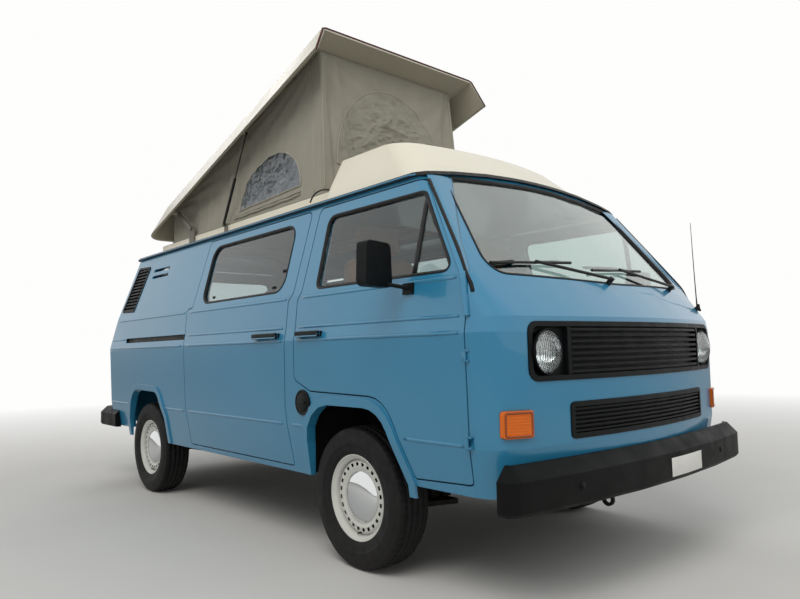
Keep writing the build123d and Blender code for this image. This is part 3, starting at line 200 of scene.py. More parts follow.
BLUE = Surface("body_blue", "2a7a9f", 0.32, coat=0.65, coat_rough=0.03).vary(0.025, 1.3, 0.02) \
    .dust(0.55, 0.22).grain(900, 0.000008).done(0.004)
CREAM = Surface("cream_gelcoat", "dcd7c6", 0.42, coat=0.25, coat_rough=0.2).vary(0.03, 2.2, 0.06) \
    .grain(240, 0.00005).grain(8, 0.0004).done(0.01)
# The lid's gelcoat is the deck's cream made darker, as painted shade on the lid's side.
SHADED_LID = Surface("lid_gelcoat_painted_shade", "bdb9ab", 0.46, coat=0.2, coat_rough=0.2).vary(0.04, 2.2, 0.06) \
    .grain(240, 0.00005).grain(8, 0.0004).done(0.01)
# Faces of the lid that look down: the gelcoat made darker still, as painted shade.
LID_UNDERSIDE_SHADE = Surface("lid_underside_painted_shade", "9c9788", 0.6).vary(0.05, 3, 0.06) \
    .grain(120, 0.0002).grain(8, 0.0006).done(0.006)
CANVAS = Surface("tent_canvas_cloth", "938f82", 0.88, sheen=0.25).vary(0.05, 3, 0.05) \
    .weave(0.0022, 0.00022).grain(11, 0.0035, 4, (1, 1, 0.5)).grain(34, 0.0012, 4).done()
FLAP = Surface("tent_flap_cloth", "8b897b", 0.8, sheen=0.25).vary(0.1, 7, 0.05) \
    .weave(0.0022, 0.00022).grain(13, 0.008, 5, (1, 1, 2.4)).grain(40, 0.0022, 4).done()
PIPING = Surface("tent_piping_cloth", "a19e90", 0.85).vary(0.06, 9, 0.05).grain(300, 0.0003).done()
# The window film is dark in patches that begin above 2.06 m, and pale in a few others.
MESH = Surface("tent_window_film", "50585f", 0.26, coat=0.5, coat_rough=0.12).vary(0.12, 9, 0.1)
MESH.layer(MESH.math("MULTIPLY", MESH.ramp(MESH.axes()[2], 2.06, 2.24, 0, 1),
                     MESH.ramp(MESH.noise(9, 3, (1, 1.6, 1)), 0.42, 0.54, 0, 0.9)), "15191c")
MESH.layer(MESH.ramp(MESH.noise(9, 3, (1, 1, 3)), 0.6, 0.66, 0, 0.45), "8d908e")
MESH = MESH.grain(14, 0.01, 4).grain(40, 0.003, 4).done()
BLACK = Surface("black_plastic_grain", "090b0d", 0.48, specular=0.18).vary(0.12, 6, 0.08) \
    .grain(700, 0.0001).done(0.003)
BUMPER = Surface("bumper_plastic", "07090a", 0.5, specular=0.12).vary(0.15, 3.5, 0.1) \
    .dust(0.6, 0.06).grain(520, 0.00012).done(0.005)
# Black rubber, also laid on the rain gutters as painted shade.
RUBBER_AND_GUTTER_SHADE = Surface("rubber_and_gutter_painted_shade", "0c0d0e", 0.5, specular=0.35).vary(0.1, 14, 0.08) \
    .grain(500, 0.00006).done()
TREAD = Surface("tyre_rubber_black", "0e0e0f", 0.7, specular=0.3).vary(0.12, 8, 0.08) \
    .dust(0.5, 0.08, "5d564c").grain(260, 0.00025, 6).done()
WHEEL = Surface("wheel_enamel", "c9cac3", 0.34, coat=0.4, coat_rough=0.1).vary(0.04, 6, 0.06) \
    .dust(0.5, 0.25, "6b5f50").grain(400, 0.00004).done(0.002)
CHROME = Surface("polished_chrome", "dcdedf", 0.05, metal=1).vary(0.02, 9, 0.03).done()
GLASS = Surface("tinted_glass", "c6d2d2", 0, clear=1, ior=1.5).vary(0.02, 2, 0).done()
SCREEN = Surface("windscreen_glass", "c8dcd5", 0, clear=1, ior=2.25).vary(0.02, 2, 0).done()
LENS = Surface("lamp_glass", "eef2f2", 0.03, clear=1, ior=1.46).vary(0.01, 9, 0.02) \
    .ribs(0, 0.0095, 0.0007).done()
AMBER = Surface("amber_lens", "e06a00", 0.2, clear=0.12, coat=0.3, specular=0.3) \
    .vary(0.06, 22, 0.03).ribs(2, 0.011, 0.00022).done(0.003)
AMBER_RIM = Surface("amber_rim", "8a3d06", 0.3, coat=0.3).vary(0.06, 22, 0.03).done()
RED = Surface("red_lens", "7a0806", 0.22, coat=0.2, specular=0.25).vary(0.06, 22, 0.03) \
    .ribs(2, 0.012, 0.00022).done(0.003)
UNDER = Surface("underseal", "0d0d0d", 0.8, specular=0.3).vary(0.2, 9, 0.08).dust(0.6, 0.15) \
    .grain(120, 0.0006).done()
STEEL = Surface("dull_steel", "6d6b68", 0.48, metal=0.8).vary(0.12, 12, 0.12) \
    .grain(200, 0.0002).done(0.002)
ENGINE = Surface("engine_metal_cast", "57585a", 0.6, metal=0.5).vary(0.14, 7, 0.1) \
    .grain(90, 0.0007).done(0.004)
SEAT = Surface("seat_fabric", "a86b3f", 0.9, sheen=0.4).vary(0.1, 16, 0.05) \
    .ribs(0, 0.012, 0.0006).weave(0.003, 0.0003).done()
WOOD = Surface("cabinet_veneer", "8a6a4a", 0.5).vary(0.05, 5, 0.08)
WOOD.layer(WOOD.ramp(WOOD.noise(7, 7, (1, 12, 12)), 0.35, 0.7, 0, 0.7), "5f442c")
WOOD = WOOD.grain(60, 0.0002, 5, (1, 10, 10)).done(0.003)
DARK_METAL = Surface("black_steel", "121314", 0.4, metal=0.2, specular=0.4).vary(0.12, 10, 0.1) \
    .grain(300, 0.0001).done()
ARM = Surface("arm_paint", "6b6960", 0.5, specular=0.4).vary(0.06, 9, 0.06) \
    .grain(300, 0.0001).done(0.002)
# Strut rods: steel darkened as painted shade under the lid.
SHADED_STRUT_ROD = Surface("strut_rod_steel_painted_shade", "3a3b3c", 0.18, metal=0.9).vary(0.05, 9, 0.04).done()
TRIM = Surface("lid_edge_rubber", "431c1c", 0.55).vary(0.12, 10, 0.08).grain(300, 0.0001).done()
PLATE = Surface("blank_plate", "d8d8d2", 0.35).vary(0.03, 10, 0.05).grain(200, 0.0001).done()

NODE_LOOKS = (
    (BLUE, "front_panel side_wall_right side_wall_left rear_frame roof_frame sliding_door door_right "
           "door_left tailgate"),
    (CREAM, "roof_deck luggage_tray"),
    (SHADED_LID, "roof_lid"),
    # The rain gutters are black, as painted shade beneath their painted lips.
    (RUBBER_AND_GUTTER_SHADE, "drip_rails"),
    (BLACK, "front_grilles rear_vents mirror_right mirror_left fuel_flap dashboard steering_wheel"),
    (DARK_METAL, "wipers strut_cylinders"),
    (BUMPER, "front_bumper rear_bumper"),
    (GLASS, "body_glass door_glass_right door_glass_left tailgate_glass"),
    (AMBER, "indicators"),
    (RED, "tail_lamps"),
    (LENS, "headlamps"),
    (SEAT, "cab_seats rear_bench"),
    (WOOD, "cabinet"),
    (UNDER, "floor_pan wheel_wells chassis front_axle rear_axle fuel_tank spare_wheel"),
    (STEEL, "knuckle_right knuckle_left exhaust"),
    (ENGINE, "engine_block"),
    (ARM, "lid_brackets roof_arms"),
    (SHADED_STRUT_ROD, "strut_rods"),
    (CANVAS, "tent"),
)
WELD = 0.00002
LEVEL_SLOPE = 0.02


def smooth_group(name, limit, level_limit):
    """Modifier that shades a faceted mesh smoothly, except over edges that turn more than a limit,
    and over level edges that turn more than a limit of their own."""
    group = bpy.data.node_groups.new(name, "GeometryNodeTree")
    for way in ("INPUT", "OUTPUT"):
        group.interface.new_socket("Geometry", in_out=way, socket_type="NodeSocketGeometry")

    def calc(operation, *values, kind="ShaderNodeMath"):
        return add(group, kind, dict(enumerate(values)), operation=operation).outputs[0]

    angle = add(group, "GeometryNodeInputMeshEdgeAngle").outputs["Unsigned Angle"]
    ends = add(group, "GeometryNodeInputMeshEdgeVertices").outputs
    along = calc("SUBTRACT", ends["Position 1"], ends["Position 2"], kind="ShaderNodeVectorMath")
    unit = calc("NORMALIZE", along, kind="ShaderNodeVectorMath")
    rise = add(group, "ShaderNodeSeparateXYZ", {0: unit}).outputs[2]
    level = calc("LESS_THAN", calc("MULTIPLY", rise, rise), LEVEL_SLOPE)
    crease = calc("MULTIPLY", level, calc("GREATER_THAN", angle, radians(level_limit)))
    sharp = calc("MAXIMUM", crease, calc("GREATER_THAN", angle, radians(limit)))
    mesh = add(group, "NodeGroupInput").outputs[0]
    for kind, inputs, values in (
            ("GeometryNodeMergeByDistance", {"Distance": WELD}, {}),
            ("GeometryNodeRemoveAttribute", {"Name": "custom_normal"}, {}),
            ("GeometryNodeSetShadeSmooth", {}, {}),
            ("GeometryNodeSetShadeSmooth", {"Selection": sharp, "Shade Smooth": False},
             {"domain": "EDGE"})):
        mesh = add(group, kind, {0: mesh, **inputs}, **values).outputs[0]
    add(group, "NodeGroupOutput", {0: mesh})
    return group


def modifier(obj, kind, **values):
    made = obj.modifiers.new(kind.lower(), kind)
    for key, value in values.items():
        setattr(made, key, value)
    return obj


BODY_SMOOTH = smooth_group("body_smooth", 27.0, 5.0)
ROUND_SMOOTH = smooth_group("round_smooth", 35.0, 40.0)
SMOOTH_NODES = ("front_bumper", "rear_bumper", "drip_rails")
for material, names in NODE_LOOKS:
    for name in names.split():
        node = NODES[name]
        node.data.materials.clear()
        node.data.materials.append(material)
        body_like = material in (BLUE, CREAM, SHADED_LID, GLASS) or name in SMOOTH_NODES
        node.modifiers.new("shade", "NODES").node_group = BODY_SMOOTH if body_like else ROUND_SMOOTH
        modifier(node, "WEIGHTED_NORMAL", mode="FACE_AREA", weight=50, keep_sharp=True)


def part_look(name, material, chosen):
    """Gives the faces of a node that a test chooses a look of their own."""
    mesh = NODES[name].data
    mesh.materials.append(material)
    for face in mesh.polygons:
        if chosen(face.center, face.normal):
            face.material_index = len(mesh.materials) - 1


# The lid's faces that look down, made darker as painted shade, the front pane, the inside of the slot
# for the sliding door's rear roller, and the rain gutters' front ends on the pillars
SLOT_LOW, SLOT_HIGH = (-0.9095, 0.5, 1.085), (-0.893, 1.62, 1.121)
part_look("roof_lid", LID_UNDERSIDE_SHADE, lambda at, way: way.z < -0.15)
part_look("body_glass", SCREEN, lambda at, way: at.y < -1.3)
# Inside the roller's slot the wall is painted black, as shade in the recess.
part_look("side_wall_right", BLACK,
          lambda at, way: all(a < b < c for a, b, c in zip(SLOT_LOW, at, SLOT_HIGH)))
part_look("drip_rails", BLUE, lambda at, way: at.z < 1.735 and at.y < -1.6)


def new_object(name, data):
    obj = bpy.data.objects.new(name, data)
    bpy.context.scene.collection.objects.link(obj)
    return obj


def piece(name, verts, faces, material, body="van", smooth=True, outward=True):
    """Mesh piece in the model's frame, riding on a body."""
    mesh = bpy.data.meshes.new(name)
    mesh.from_pydata([tuple(v) for v in verts], [], faces)
    if outward:
        work = bmesh.new()
        work.from_mesh(mesh)
        bmesh.ops.remove_doubles(work, verts=work.verts, dist=0.000001)
        bmesh.ops.recalc_face_normals(work, faces=work.faces)
        work.to_mesh(mesh)
        work.free()
    mesh.update()
    obj = new_object(name, mesh)
    mesh.materials.append(material)
    if smooth:
        mesh.shade_smooth()
    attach(obj, body)
    return obj


def grid(columns, rows, around, across):
    """Quads of a net of points, closed around its columns or across its rows where that is said."""
    return [(i * rows + j, i * rows + (j + 1) % rows,
             (i + 1) % columns * rows + (j + 1) % rows, (i + 1) % columns * rows + j)
            for i in range(columns if around else columns - 1)
            for j in range(rows if across else rows - 1)]


def flipped(faces):
    """Quads that face the other way."""
    return [(a, d, c, b) for a, b, c, d in faces]


def bar(name, verts, count, rows, material, body):
    """Closed bar from count rings of rows points each."""
    faces = grid(count, rows, False, True)
    faces += [tuple(range(rows)), tuple((count - 1) * rows + j for j in range(rows))[::-1]]
    return piece(name, verts, faces, material, body)


def lathe(name, profile, material, body, centre, axis, segments=96, closed=False, relief=None):
    """Revolved piece. The profile gives the distance along the axis and the radius."""
    axis = Vector(axis).normalized()
    if abs(axis.z) > 0.9:
        side = axis.orthogonal().normalized()
    else:
        side = Vector((0, 0, 1)).cross(axis).normalized()
    up = axis.cross(side)
    verts = []
    for i in range(segments):
        angle = 2 * pi * i / segments
        out = side * sin(angle) + up * cos(angle)
        for d, r in profile:
            if relief:
                r = relief(i, d, r)
            verts.append(Vector(centre) + axis * d + out * r)
    return piece(name, verts, grid(segments, len(profile), True, closed), material, body)


def tube(name, path, radius, material, body="van", closed=False, sides=10, squash=1.0):
    """Round bar along points, of one radius or one for each point."""
    path = [Vector(p) for p in path]
    verts, count = [], len(path)
    normal = None
    for i, point in enumerate(path):
        before = path[i - 1] if i or closed else point
        after = path[(i + 1) % count] if i < count - 1 or closed else point
        along = (after - before).normalized()
        if normal is None:
            normal = along.orthogonal().normalized()
        normal = (normal - along * normal.dot(along)).normalized()
        across = along.cross(normal)
        width = radius[i] if isinstance(radius, (list, tuple)) else radius
        for j in range(sides):
            a = 2 * pi * j / sides
            verts.append(point + normal * (width * cos(a)) + across * (width * squash * sin(a)))
    if not closed:
        return bar(name, verts, count, sides, material, body)
    return piece(name, verts, grid(count, sides, True, True), material, body)


CORNER_STEPS = 8


def outline(points, step=0.012):
    """Even points round corners given as u, v, radius."""
    corners = []
    count = len(points)
    for i in range(count):
        a, b, c = (Vector(points[k % count][:2]) for k in (i - 1, i, i + 1))
        radius = points[i][2]
        u, v = (a - b).normalized(), (c - b).normalized()
        half = u.angle(v) / 2
        reach = min(radius / tan(half), (a - b).length * 0.5, (c - b).length * 0.5)
        radius = reach * tan(half)
        centre = b + (u + v).normalized() * (radius / sin(half))
        start, end = b + u * reach, b + v * reach
        turn = (start - centre).angle_signed(end - centre)
        for k in range(CORNER_STEPS + 1):
            spin = Matrix.Rotation(-turn * k / CORNER_STEPS, 2)
            corners.append(centre + spin @ (start - centre))
    even = []
    for i, point in enumerate(corners):
        after = corners[(i + 1) % len(corners)]
        pieces = max(1, round((after - point).length / step))
        even += [point.lerp(after, k / pieces) for k in range(pieces)]
    return even


def bvh_of(*names):
    """Search tree of nodes' faces."""
    verts, faces = [], []
    for name in names:
        mesh = NODES[name].data
        base = len(verts)
        verts += [v.co.copy() for v in mesh.vertices]
        faces += [[base + i for i in p.vertices] for p in mesh.polygons]
    return BVHTree.FromPolygons(verts, faces)


def hit_of(tree, ray):
    """Place where a ray meets a tree's faces, and the normal towards the ray's start."""
    start, direction = ray
    hit, normal, _, _ = tree.ray_cast(start, direction)
    if hit is not None and normal.dot(direction) > 0:
        normal = -normal
    return hit, normal


def from_side(sign):
    return lambda p: (Vector((sign * 2, p[0], p[1])), Vector((-sign, 0, 0)))


def from_front(p):
    return Vector((p[0], -3.5, p[1])), Vector((0, 1, 0))


def from_rear(p):
    return Vector((p[0], 3.5, p[1])), Vector((0, -1, 0))


def evened(places, rounds, closed):
    """Places averaged with their neighbours, the ends kept where the row isn't closed."""
    for _ in range(rounds):
        rows = zip(places[-1:] + places[:-1], places, places[1:] + places[:1])
        even = [[(a + b * 2 + c) / 4 for a, b, c in zip(*row)] for row in rows]
        places = even if closed else [places[0]] + even[1:-1] + [places[-1]]
    return places


SEAL = [(0.01, -0.001), (0.0095, 0.0026), (0.005, 0.0046), (-0.002, 0.0036), (-0.008, -0.002),
        (-0.013, -0.008), (-0.014, -0.0135), (-0.006, -0.0135), (-0.002, -0.008), (0.002, -0.001)]
SEAL_REACH = 0.012


def seal(name, points, nodes, look, body, scale):
    """Rubber round a window. look turns a point of the outline into a ray's start and direction."""
    tree = bvh_of(*nodes)
    ring = outline(points)
    count = len(ring)
    area = sum(ring[i - 1].x * ring[i].y - ring[i].x * ring[i - 1].y for i in range(count))
    places = []
    for i, point in enumerate(ring):
        along = (ring[(i + 1) % count] - ring[i - 1]).normalized()
        out = Vector((along.y, -along.x)) * (1 if area > 0 else -1)
        ray = look(point + out * SEAL_REACH)
        hit, normal = hit_of(tree, ray)
        if hit is None:
            continue
        outward = (ray[0] - look(point)[0]).normalized()
        outward = (outward - normal * outward.dot(normal)).normalized()
        places.append([hit - outward * SEAL_REACH, outward, normal])
    verts = []
    for spot, outward, normal in evened(places, 2, True):
        verts += [spot + outward.normalized() * (a * scale) + normal.normalized() * (h * scale)
                  for a, h in SEAL]
    return piece(name, verts, grid(len(places), len(SEAL), True, True), RUBBER_AND_GUTTER_SHADE, body)


def rounded_box(name, low, high, material, body, radius):
    """Moulded block with rounded edges."""
    verts = [(x, y, z) for x in (low[0], high[0]) for y in (low[1], high[1]) for z in (low[2], high[2])]
    faces = [(0, 1, 3, 2), (4, 6, 7, 5), (0, 4, 5, 1), (2, 3, 7, 6), (0, 2, 6, 4), (1, 5, 7, 3)]
    obj = piece(name, verts, faces, material, body)
    modifier(obj, "BEVEL", width=radius, segments=3, limit_method="NONE", harden_normals=False)
    return modifier(obj, "WEIGHTED_NORMAL", keep_sharp=False)


# Wheels. A profile gives distances from the wheel's middle, outward, and radii.
TYRE_WALL = [
    (0.0655, 0.1815), (0.0695, 0.185), (0.0745, 0.1905), (0.079, 0.1985), (0.0792, 0.201),
    (0.0815, 0.2035), (0.0855, 0.215), (0.0895, 0.231), (0.0898, 0.2335), (0.0916, 0.2345),
    (0.0922, 0.248), (0.0922, 0.258), (0.0908, 0.27), (0.0888, 0.28), (0.0888, 0.283),
    (0.0876, 0.2845), (0.0862, 0.294), (0.085, 0.3), (0.083, 0.306), (0.0795, 0.3105),
    (0.074, 0.314), (0.068, 0.316)]
TYRE_INSIDE = [(-0.06, 0.18), (0.06, 0.18)]
GROOVES = (0.0465, 0.016)
GROOVE = [(0.004, 0.319), (0.0032, 0.311), (-0.0032, 0.311), (-0.004, 0.3194)]
BARREL = [
    (0.0765, 0.1945), (0.0772, 0.1925), (0.0762, 0.189), (0.07, 0.185), (0.066, 0.18),
    (0.0645, 0.174), (0.056, 0.1715), (0.043, 0.1705), (0.02, 0.172), (-0.056, 0.172),
    (-0.072, 0.185), (-0.076, 0.194), (-0.0745, 0.195), (-0.066, 0.19), (-0.06, 0.1785),
    (0.06, 0.1785), (0.066, 0.188), (0.072, 0.1945)]
DISC = [
    (0.044, 0.1), (0.044, 0.118), (0.047, 0.126), (0.0505, 0.132), (0.052, 0.137),
    (0.052, 0.139), (0.052, 0.1545), (0.0518, 0.156), (0.049, 0.161), (0.043, 0.1665),
    (0.039, 0.1715)]
DISC_SLOTS = 24
SLOT_PITCH, SLOT_COLUMNS, SLOT_ROW = 8, (2, 3, 4, 5), 5
HUB_CAP = [
    (0.0445, 0.115), (0.0455, 0.1175), (0.0478, 0.1175), (0.05, 0.114), (0.0555, 0.1085),
    (0.062, 0.095), (0.0668, 0.078), (0.0703, 0.058), (0.0726, 0.035), (0.0736, 0.012),
    (0.0738, 0.0002)]
DRUM = [(0.025, 0.09), (0.025, 0.16), (0.023, 0.168), (-0.03, 0.1695)]


def tyre_relief(i, d, r):
    """Cuts across the shoulders of the tread."""
    if i % 3 == 0 and 0.048 < abs(d) < 0.079 and r > 0.304:
        return r - 0.005
    return r


def wheel(where, side, sign):
    """Tyre, rim, cap, brake drum and valve of one wheel."""
    name = f"{where}_{side}"
    body = f"wheel_{name}"
    centre = Vector((sign * TRACK / 2, AXLES[where], TYRE_R))
    axis = Vector((sign, 0, 0))
    half = TYRE_WALL + [(groove + d, r) for groove in GROOVES for d, r in GROOVE]
    profile = half + [(-d, r) for d, r in reversed(half)] + TYRE_INSIDE
    rubber = lathe(f"tyre_{name}_tread", profile, TREAD, body, centre, axis, 180, True, tyre_relief)
    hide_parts(f"tyre_{name}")
    metal = lathe(f"rim_{name}_barrel", BARREL, WHEEL, body, centre, axis, 128, True)
    modifier(metal, "WEIGHTED_NORMAL", keep_sharp=False)
    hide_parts(f"rim_{name}")
    columns, rows = DISC_SLOTS * SLOT_PITCH, len(DISC)
    up, across = Vector((0, 0, 1)), Vector((0, 1, 0))
    verts = []
    for i in range(columns):
        angle = 2 * pi * i / columns
        verts += [centre + axis * d + (up * cos(angle) + across * sin(angle)) * r for d, r in DISC]
    faces = [face for k, face in enumerate(grid(columns, rows, True, False))
             if k % (rows - 1) != SLOT_ROW or k // (rows - 1) % SLOT_PITCH not in SLOT_COLUMNS]
    disc = piece(f"rim_{name}_disc", verts, faces, WHEEL, body)
    modifier(disc, "SOLIDIFY", thickness=0.0035, offset=0)
    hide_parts(f"rim_{name}")
    hub = lathe(f"cap_{name}", HUB_CAP, CHROME, body, centre, axis)
    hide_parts(f"rim_{name}")
    lathe(f"drum_{name}", DRUM, UNDER, body, centre, axis)
    valve = [centre + axis * d + up * -0.16 for d in (0.048, 0.062, 0.072)]
    tube(f"valve_{name}", valve, [0.0045, 0.004, 0.0032], RUBBER_AND_GUTTER_SHADE, body)


for where in ("front", "rear"):
    for side, sign in SIDES:
        wheel(where, side, sign)

# Window rubbers
for side, sign in SIDES:
    seal(f"rubber_door_{side}", FRONT_WINDOW, [f"door_{side}"], from_side(sign), f"door_{side}", 0.72)
seal("rubber_slide", SIDE_WINDOW, ["sliding_door"], from_side(-1), "van", 0.72)
seal("rubber_side_left", SIDE_WINDOW, ["side_wall_left"], from_side(1), "van", 0.72)
seal("rubber_windscreen", WINDSCREEN, ["front_panel", "roof_frame"], from_front, "van", 0.8)
seal("rubber_rear", REAR_WINDOW, ["tailgate"], from_rear, "tailgate", 0.85)

# Bars in the front doors' glass
VENT_BAR = [(-0.013, -0.002), (-0.013, 0.0036), (-0.0078, 0.006), (0.0078, 0.006), (0.013, 0.0036),
            (0.013, -0.002)]
VENT_Y, VENT_Z, VENT_LONG, VENT_STEPS = -1.68, 1.302, 0.336, 8
for side, sign in SIDES:
    tree, verts = bvh_of(f"door_glass_{side}"), []
    for i in range(VENT_STEPS + 1):
        ray = from_side(sign)((VENT_Y, VENT_Z + VENT_LONG * i / VENT_STEPS))
        hit, normal = hit_of(tree, ray)
        verts += [hit + Vector((0, a, 0)) + normal * h for a, h in VENT_BAR]
    bar(f"vent_bar_{side}", verts, VENT_STEPS + 1, len(VENT_BAR), RUBBER_AND_GUTTER_SHADE, f"door_{side}")

BAND = [(-1.0, -0.12), (-0.62, 0.58), (-0.25, 0.95), (0.25, 0.95), (0.62, 0.58), (1.0, -0.12)]
BAND_SUNK = 0.0003


def band(name, places, material, body, half, rise, fade=0):
    """Low rounded bar along places given as a point and an outward normal, fading at its ends."""
    verts, count = [], len(places)
    for i, (spot, normal) in enumerate(places):
        along = (places[min(i + 1, count - 1)][0] - places[max(i - 1, 0)][0]).normalized()
        across = along.cross(normal).normalized()
        share = min(1.0, (min(i, count - 1 - i) + 0.3) / fade) if fade else 1.0
        verts += [spot + across * a * half + normal * (h * rise * share - BAND_SUNK) for a, h in BAND]
    return bar(name, verts, count, len(BAND), material, body)


NEAR_STEP = 0.02


def near(points, nodes):
    """Places on the nodes' surface nearest to a path."""
    tree, places = bvh_of(*nodes), []
    for a, b in zip(points, points[1:]):
        a, b = Vector(a), Vector(b)
        pieces = max(1, round((b - a).length / NEAR_STEP))
        for k in range(pieces):
            spot, normal, _, _ = tree.find_nearest(a.lerp(b, k / pieces))
            places.append([spot, normal])
    return [(spot, normal.normalized()) for spot, normal in evened(places, 3, False)]


# Painted lips of the rain gutters. Rays over the rails' height find the outer face, LIP_DEEP thick.
LIP_STEPS, LIP_START, LIP_STEP, LIP_DEEP = 92, -1.6, 0.04, 0.004
RAYS, RAY_START, RAY_STEP = 60, 1.62, 0.004
for side, sign in SIDES:
    tree, lip = bvh_of("drip_rails"), []
    for i in range(LIP_STEPS):
        y = LIP_START + LIP_STEP * i
        hits = [hit_of(tree, from_side(sign)((y, RAY_START + RAY_STEP * k)))[0] for k in range(RAYS)]
        hits = [hit for hit in hits if hit is not None]
        if not hits:
            continue
        edge = max(abs(hit.x) for hit in hits)
        face = [hit.z for hit in hits if abs(hit.x) > edge - LIP_DEEP]
        lip.append((sign * (edge + 0.0005), y, (min(face) + max(face)) / 2 - 0.001))
    tube(f"gutter_lip_{side}", lip, 0.0044, BLUE)

# Black strips on the windscreen pillars
PILLAR_LINE = [(-0.77, -1.672, 1.738), (-0.86, -1.909, 1.413), (-0.896, -2.014, 1.24),
               (-0.902, -2.02, 1.19)]
for side, sign in SIDES:
    line = [(-sign * x, y, z) for x, y, z in PILLAR_LINE]
    band(f"pillar_strip_{side}", near(line, ["front_panel", "drip_rails"]), RUBBER_AND_GUTTER_SHADE, "van", 0.009,
         0.006)

# Lines pressed into the sides: height, half width and rise. Places further in than the least
# distance from the middle are in a window, an arch or the roller's slot.
PRESSED = ((1.262, 0.009, 0.003), (1.112, 0.008, 0.0045), (1.047, 0.009, 0.005), (0.622, 0.009, 0.0042))
SKINS = {"right": ["front_panel", "door_right", "sliding_door", "side_wall_right"],
         "left": ["front_panel", "door_left", "side_wall_left"]}
LEAST_X, LEAST_X_AT_SLOT = 0.84, 0.904
RUN_STEPS, RUN_START, RUN_STEP, SHORTEST_RUN = 211, -2.1, 0.02, 6


def skin_runs(trees, sign, z):
    """Runs of places at a height, each on one outer panel, with None where there is no panel."""
    least = LEAST_X_AT_SLOT if 1.1 < z < 1.2 else LEAST_X
    runs = []
    for i in range(RUN_STEPS):
        ray = from_side(sign)((RUN_START + RUN_STEP * i, z))
        hits = [(*hit_of(tree, ray), name) for name, tree in trees.items()]
        hits = [hit for hit in hits if hit[0] is not None and abs(hit[0].x) > least]
        if not hits:
            runs.append(None)
            continue
        spot, normal, name = max(hits, key=lambda hit: abs(hit[0].x))
        if runs and runs[-1] and runs[-1][0] == name:
            runs[-1][1].append((spot, normal))
        else:
            runs.append((name, [(spot, normal)]))
    return runs


for side, sign in SIDES:
    trees = {name: bvh_of(name) for name in SKINS[side]}
    for row, (z, half, rise) in enumerate(PRESSED):
        for k, run in enumerate(skin_runs(trees, sign, z)):
            if run and len(run[1]) > SHORTEST_RUN:
                body = run[0] if run[0].startswith("door_") else "van"
                band(f"pressed_line_{side}_{row}_{k}", run[1][1:-1], BLUE, body, half, rise,
                     3)

# Handles, latches and the filler cap
GRIP_X, GRIP_Z = (0.929, 0.9445), (1.0605, 1.0895)
FOOT_X, FOOT_Z, FOOT_LONG = (0.912, 0.93), (1.0625, 1.0875), 0.0275


def handle_block(name, sign, body, x, y0, y1, z, radius):
    """Black block on one side, its x given as distances from the middle."""
    x0, x1 = sorted((sign * x[0], sign * x[1]))
    rounded_box(name, (x0, y0, z[0]), (x1, y1, z[1]), BLACK, body, radius)


for name, sign, body, y0, y1 in (("right", -1, "door_right", -1.0575, -0.8545),
                                 ("left", 1, "door_left", -1.0575, -0.8545),
                                 ("slide", -1, "van", -0.6715, -0.4185)):
    handle_block(f"handle_{name}", sign, body, GRIP_X, y0, y1, GRIP_Z, 0.006)
    for k, y in enumerate((y0, y1 - FOOT_LONG)):
        handle_block(f"handle_foot_{name}_{k}", sign, body, FOOT_X, y, y + FOOT_LONG, FOOT_Z, 0.004)
glass_tree = bvh_of("sliding_door", "body_glass")
for k, (y, z) in enumerate(((-0.615, 1.425), (-0.54, 1.34), (0.18, 1.34))):
    hit, _ = hit_of(glass_tree, from_side(-1)((y, z)))
    if hit:
        rounded_box(f"latch_{k}", (hit.x - 0.006, y - 0.014, z - 0.008),
                    (hit.x + 0.004, y + 0.014, z + 0.008), BLACK, "van", 0.004)
low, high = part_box("fuel_flap")
flap_middle = Vector((low.x, (low.y + high.y) / 2, (low.z + high.z) / 2))
FILLER_RING = [
    (-0.004, 0.0625), (0.001, 0.0625), (0.0025, 0.06), (0.0015, 0.056), (-0.001, 0.053),
    (-0.001, 0.045), (0.0045, 0.043), (0.006, 0.038), (0.0062, 0.0002)]
lathe("filler_ring", FILLER_RING, BLACK, "van", flap_middle, (-1, 0, 0), 64)
rounded_box("filler_grip", flap_middle + Vector((-0.014, -0.034, -0.007)),
            flap_middle + Vector((-0.002, 0.034, 0.007)), BLACK, "van", 0.004)

# Mirror glasses
MIRROR_GLASS = [(-0.077, -0.083, 0.018), (-0.07, 0.083, 0.018), (0.07, 0.083, 0.018),
                (0.077, -0.083, 0.018)]
for side, sign in SIDES:
    turn = Matrix.Rotation(radians(-12 * sign), 3, "Z")
    corners = outline(MIRROR_GLASS)
    base = Vector((sign * MIRROR[0], MIRROR[1], MIRROR[2]))
    verts = [base + turn @ Vector((p.x, y, p.y)) for y in (0.0222, 0.02) for p in corners]
    n = len(corners)
    faces = [tuple(range(n)), tuple(range(n, 2 * n))[::-1]]
    faces += [(i, (i + 1) % n, n + (i + 1) % n, n + i) for i in range(n)]
    piece(f"mirror_glass_{side}", verts, faces, CHROME, f"door_{side}", smooth=False)

# Wiper blades and indicator frames
for k, tip in enumerate((-0.49, 0.12)):
    blade = near([(tip - 0.255, -1.98, 1.325), (tip + 0.235, -1.96, 1.353)], ["body_glass"])
    band(f"wiper_blade_{k}", [(spot + normal * 0.01, normal) for spot, normal in blade], RUBBER_AND_GUTTER_SHADE,
         "van", 0.0075, 0.009, 2)
INDICATOR = [(0.753, 0.663, 0.008), (0.753, 0.748, 0.008), (0.854, 0.748, 0.008), (0.854, 0.663, 0.008)]
for side, sign in SIDES:
    tree = bvh_of("indicators")
    hits = [hit_of(tree, from_front((sign * p.x, p.y)))[0] for p in outline(INDICATOR, 0.008)]
    tube(f"indicator_rim_{side}", [hit for hit in hits if hit is not None], 0.0042, AMBER_RIM,
         closed=True, sides=8)

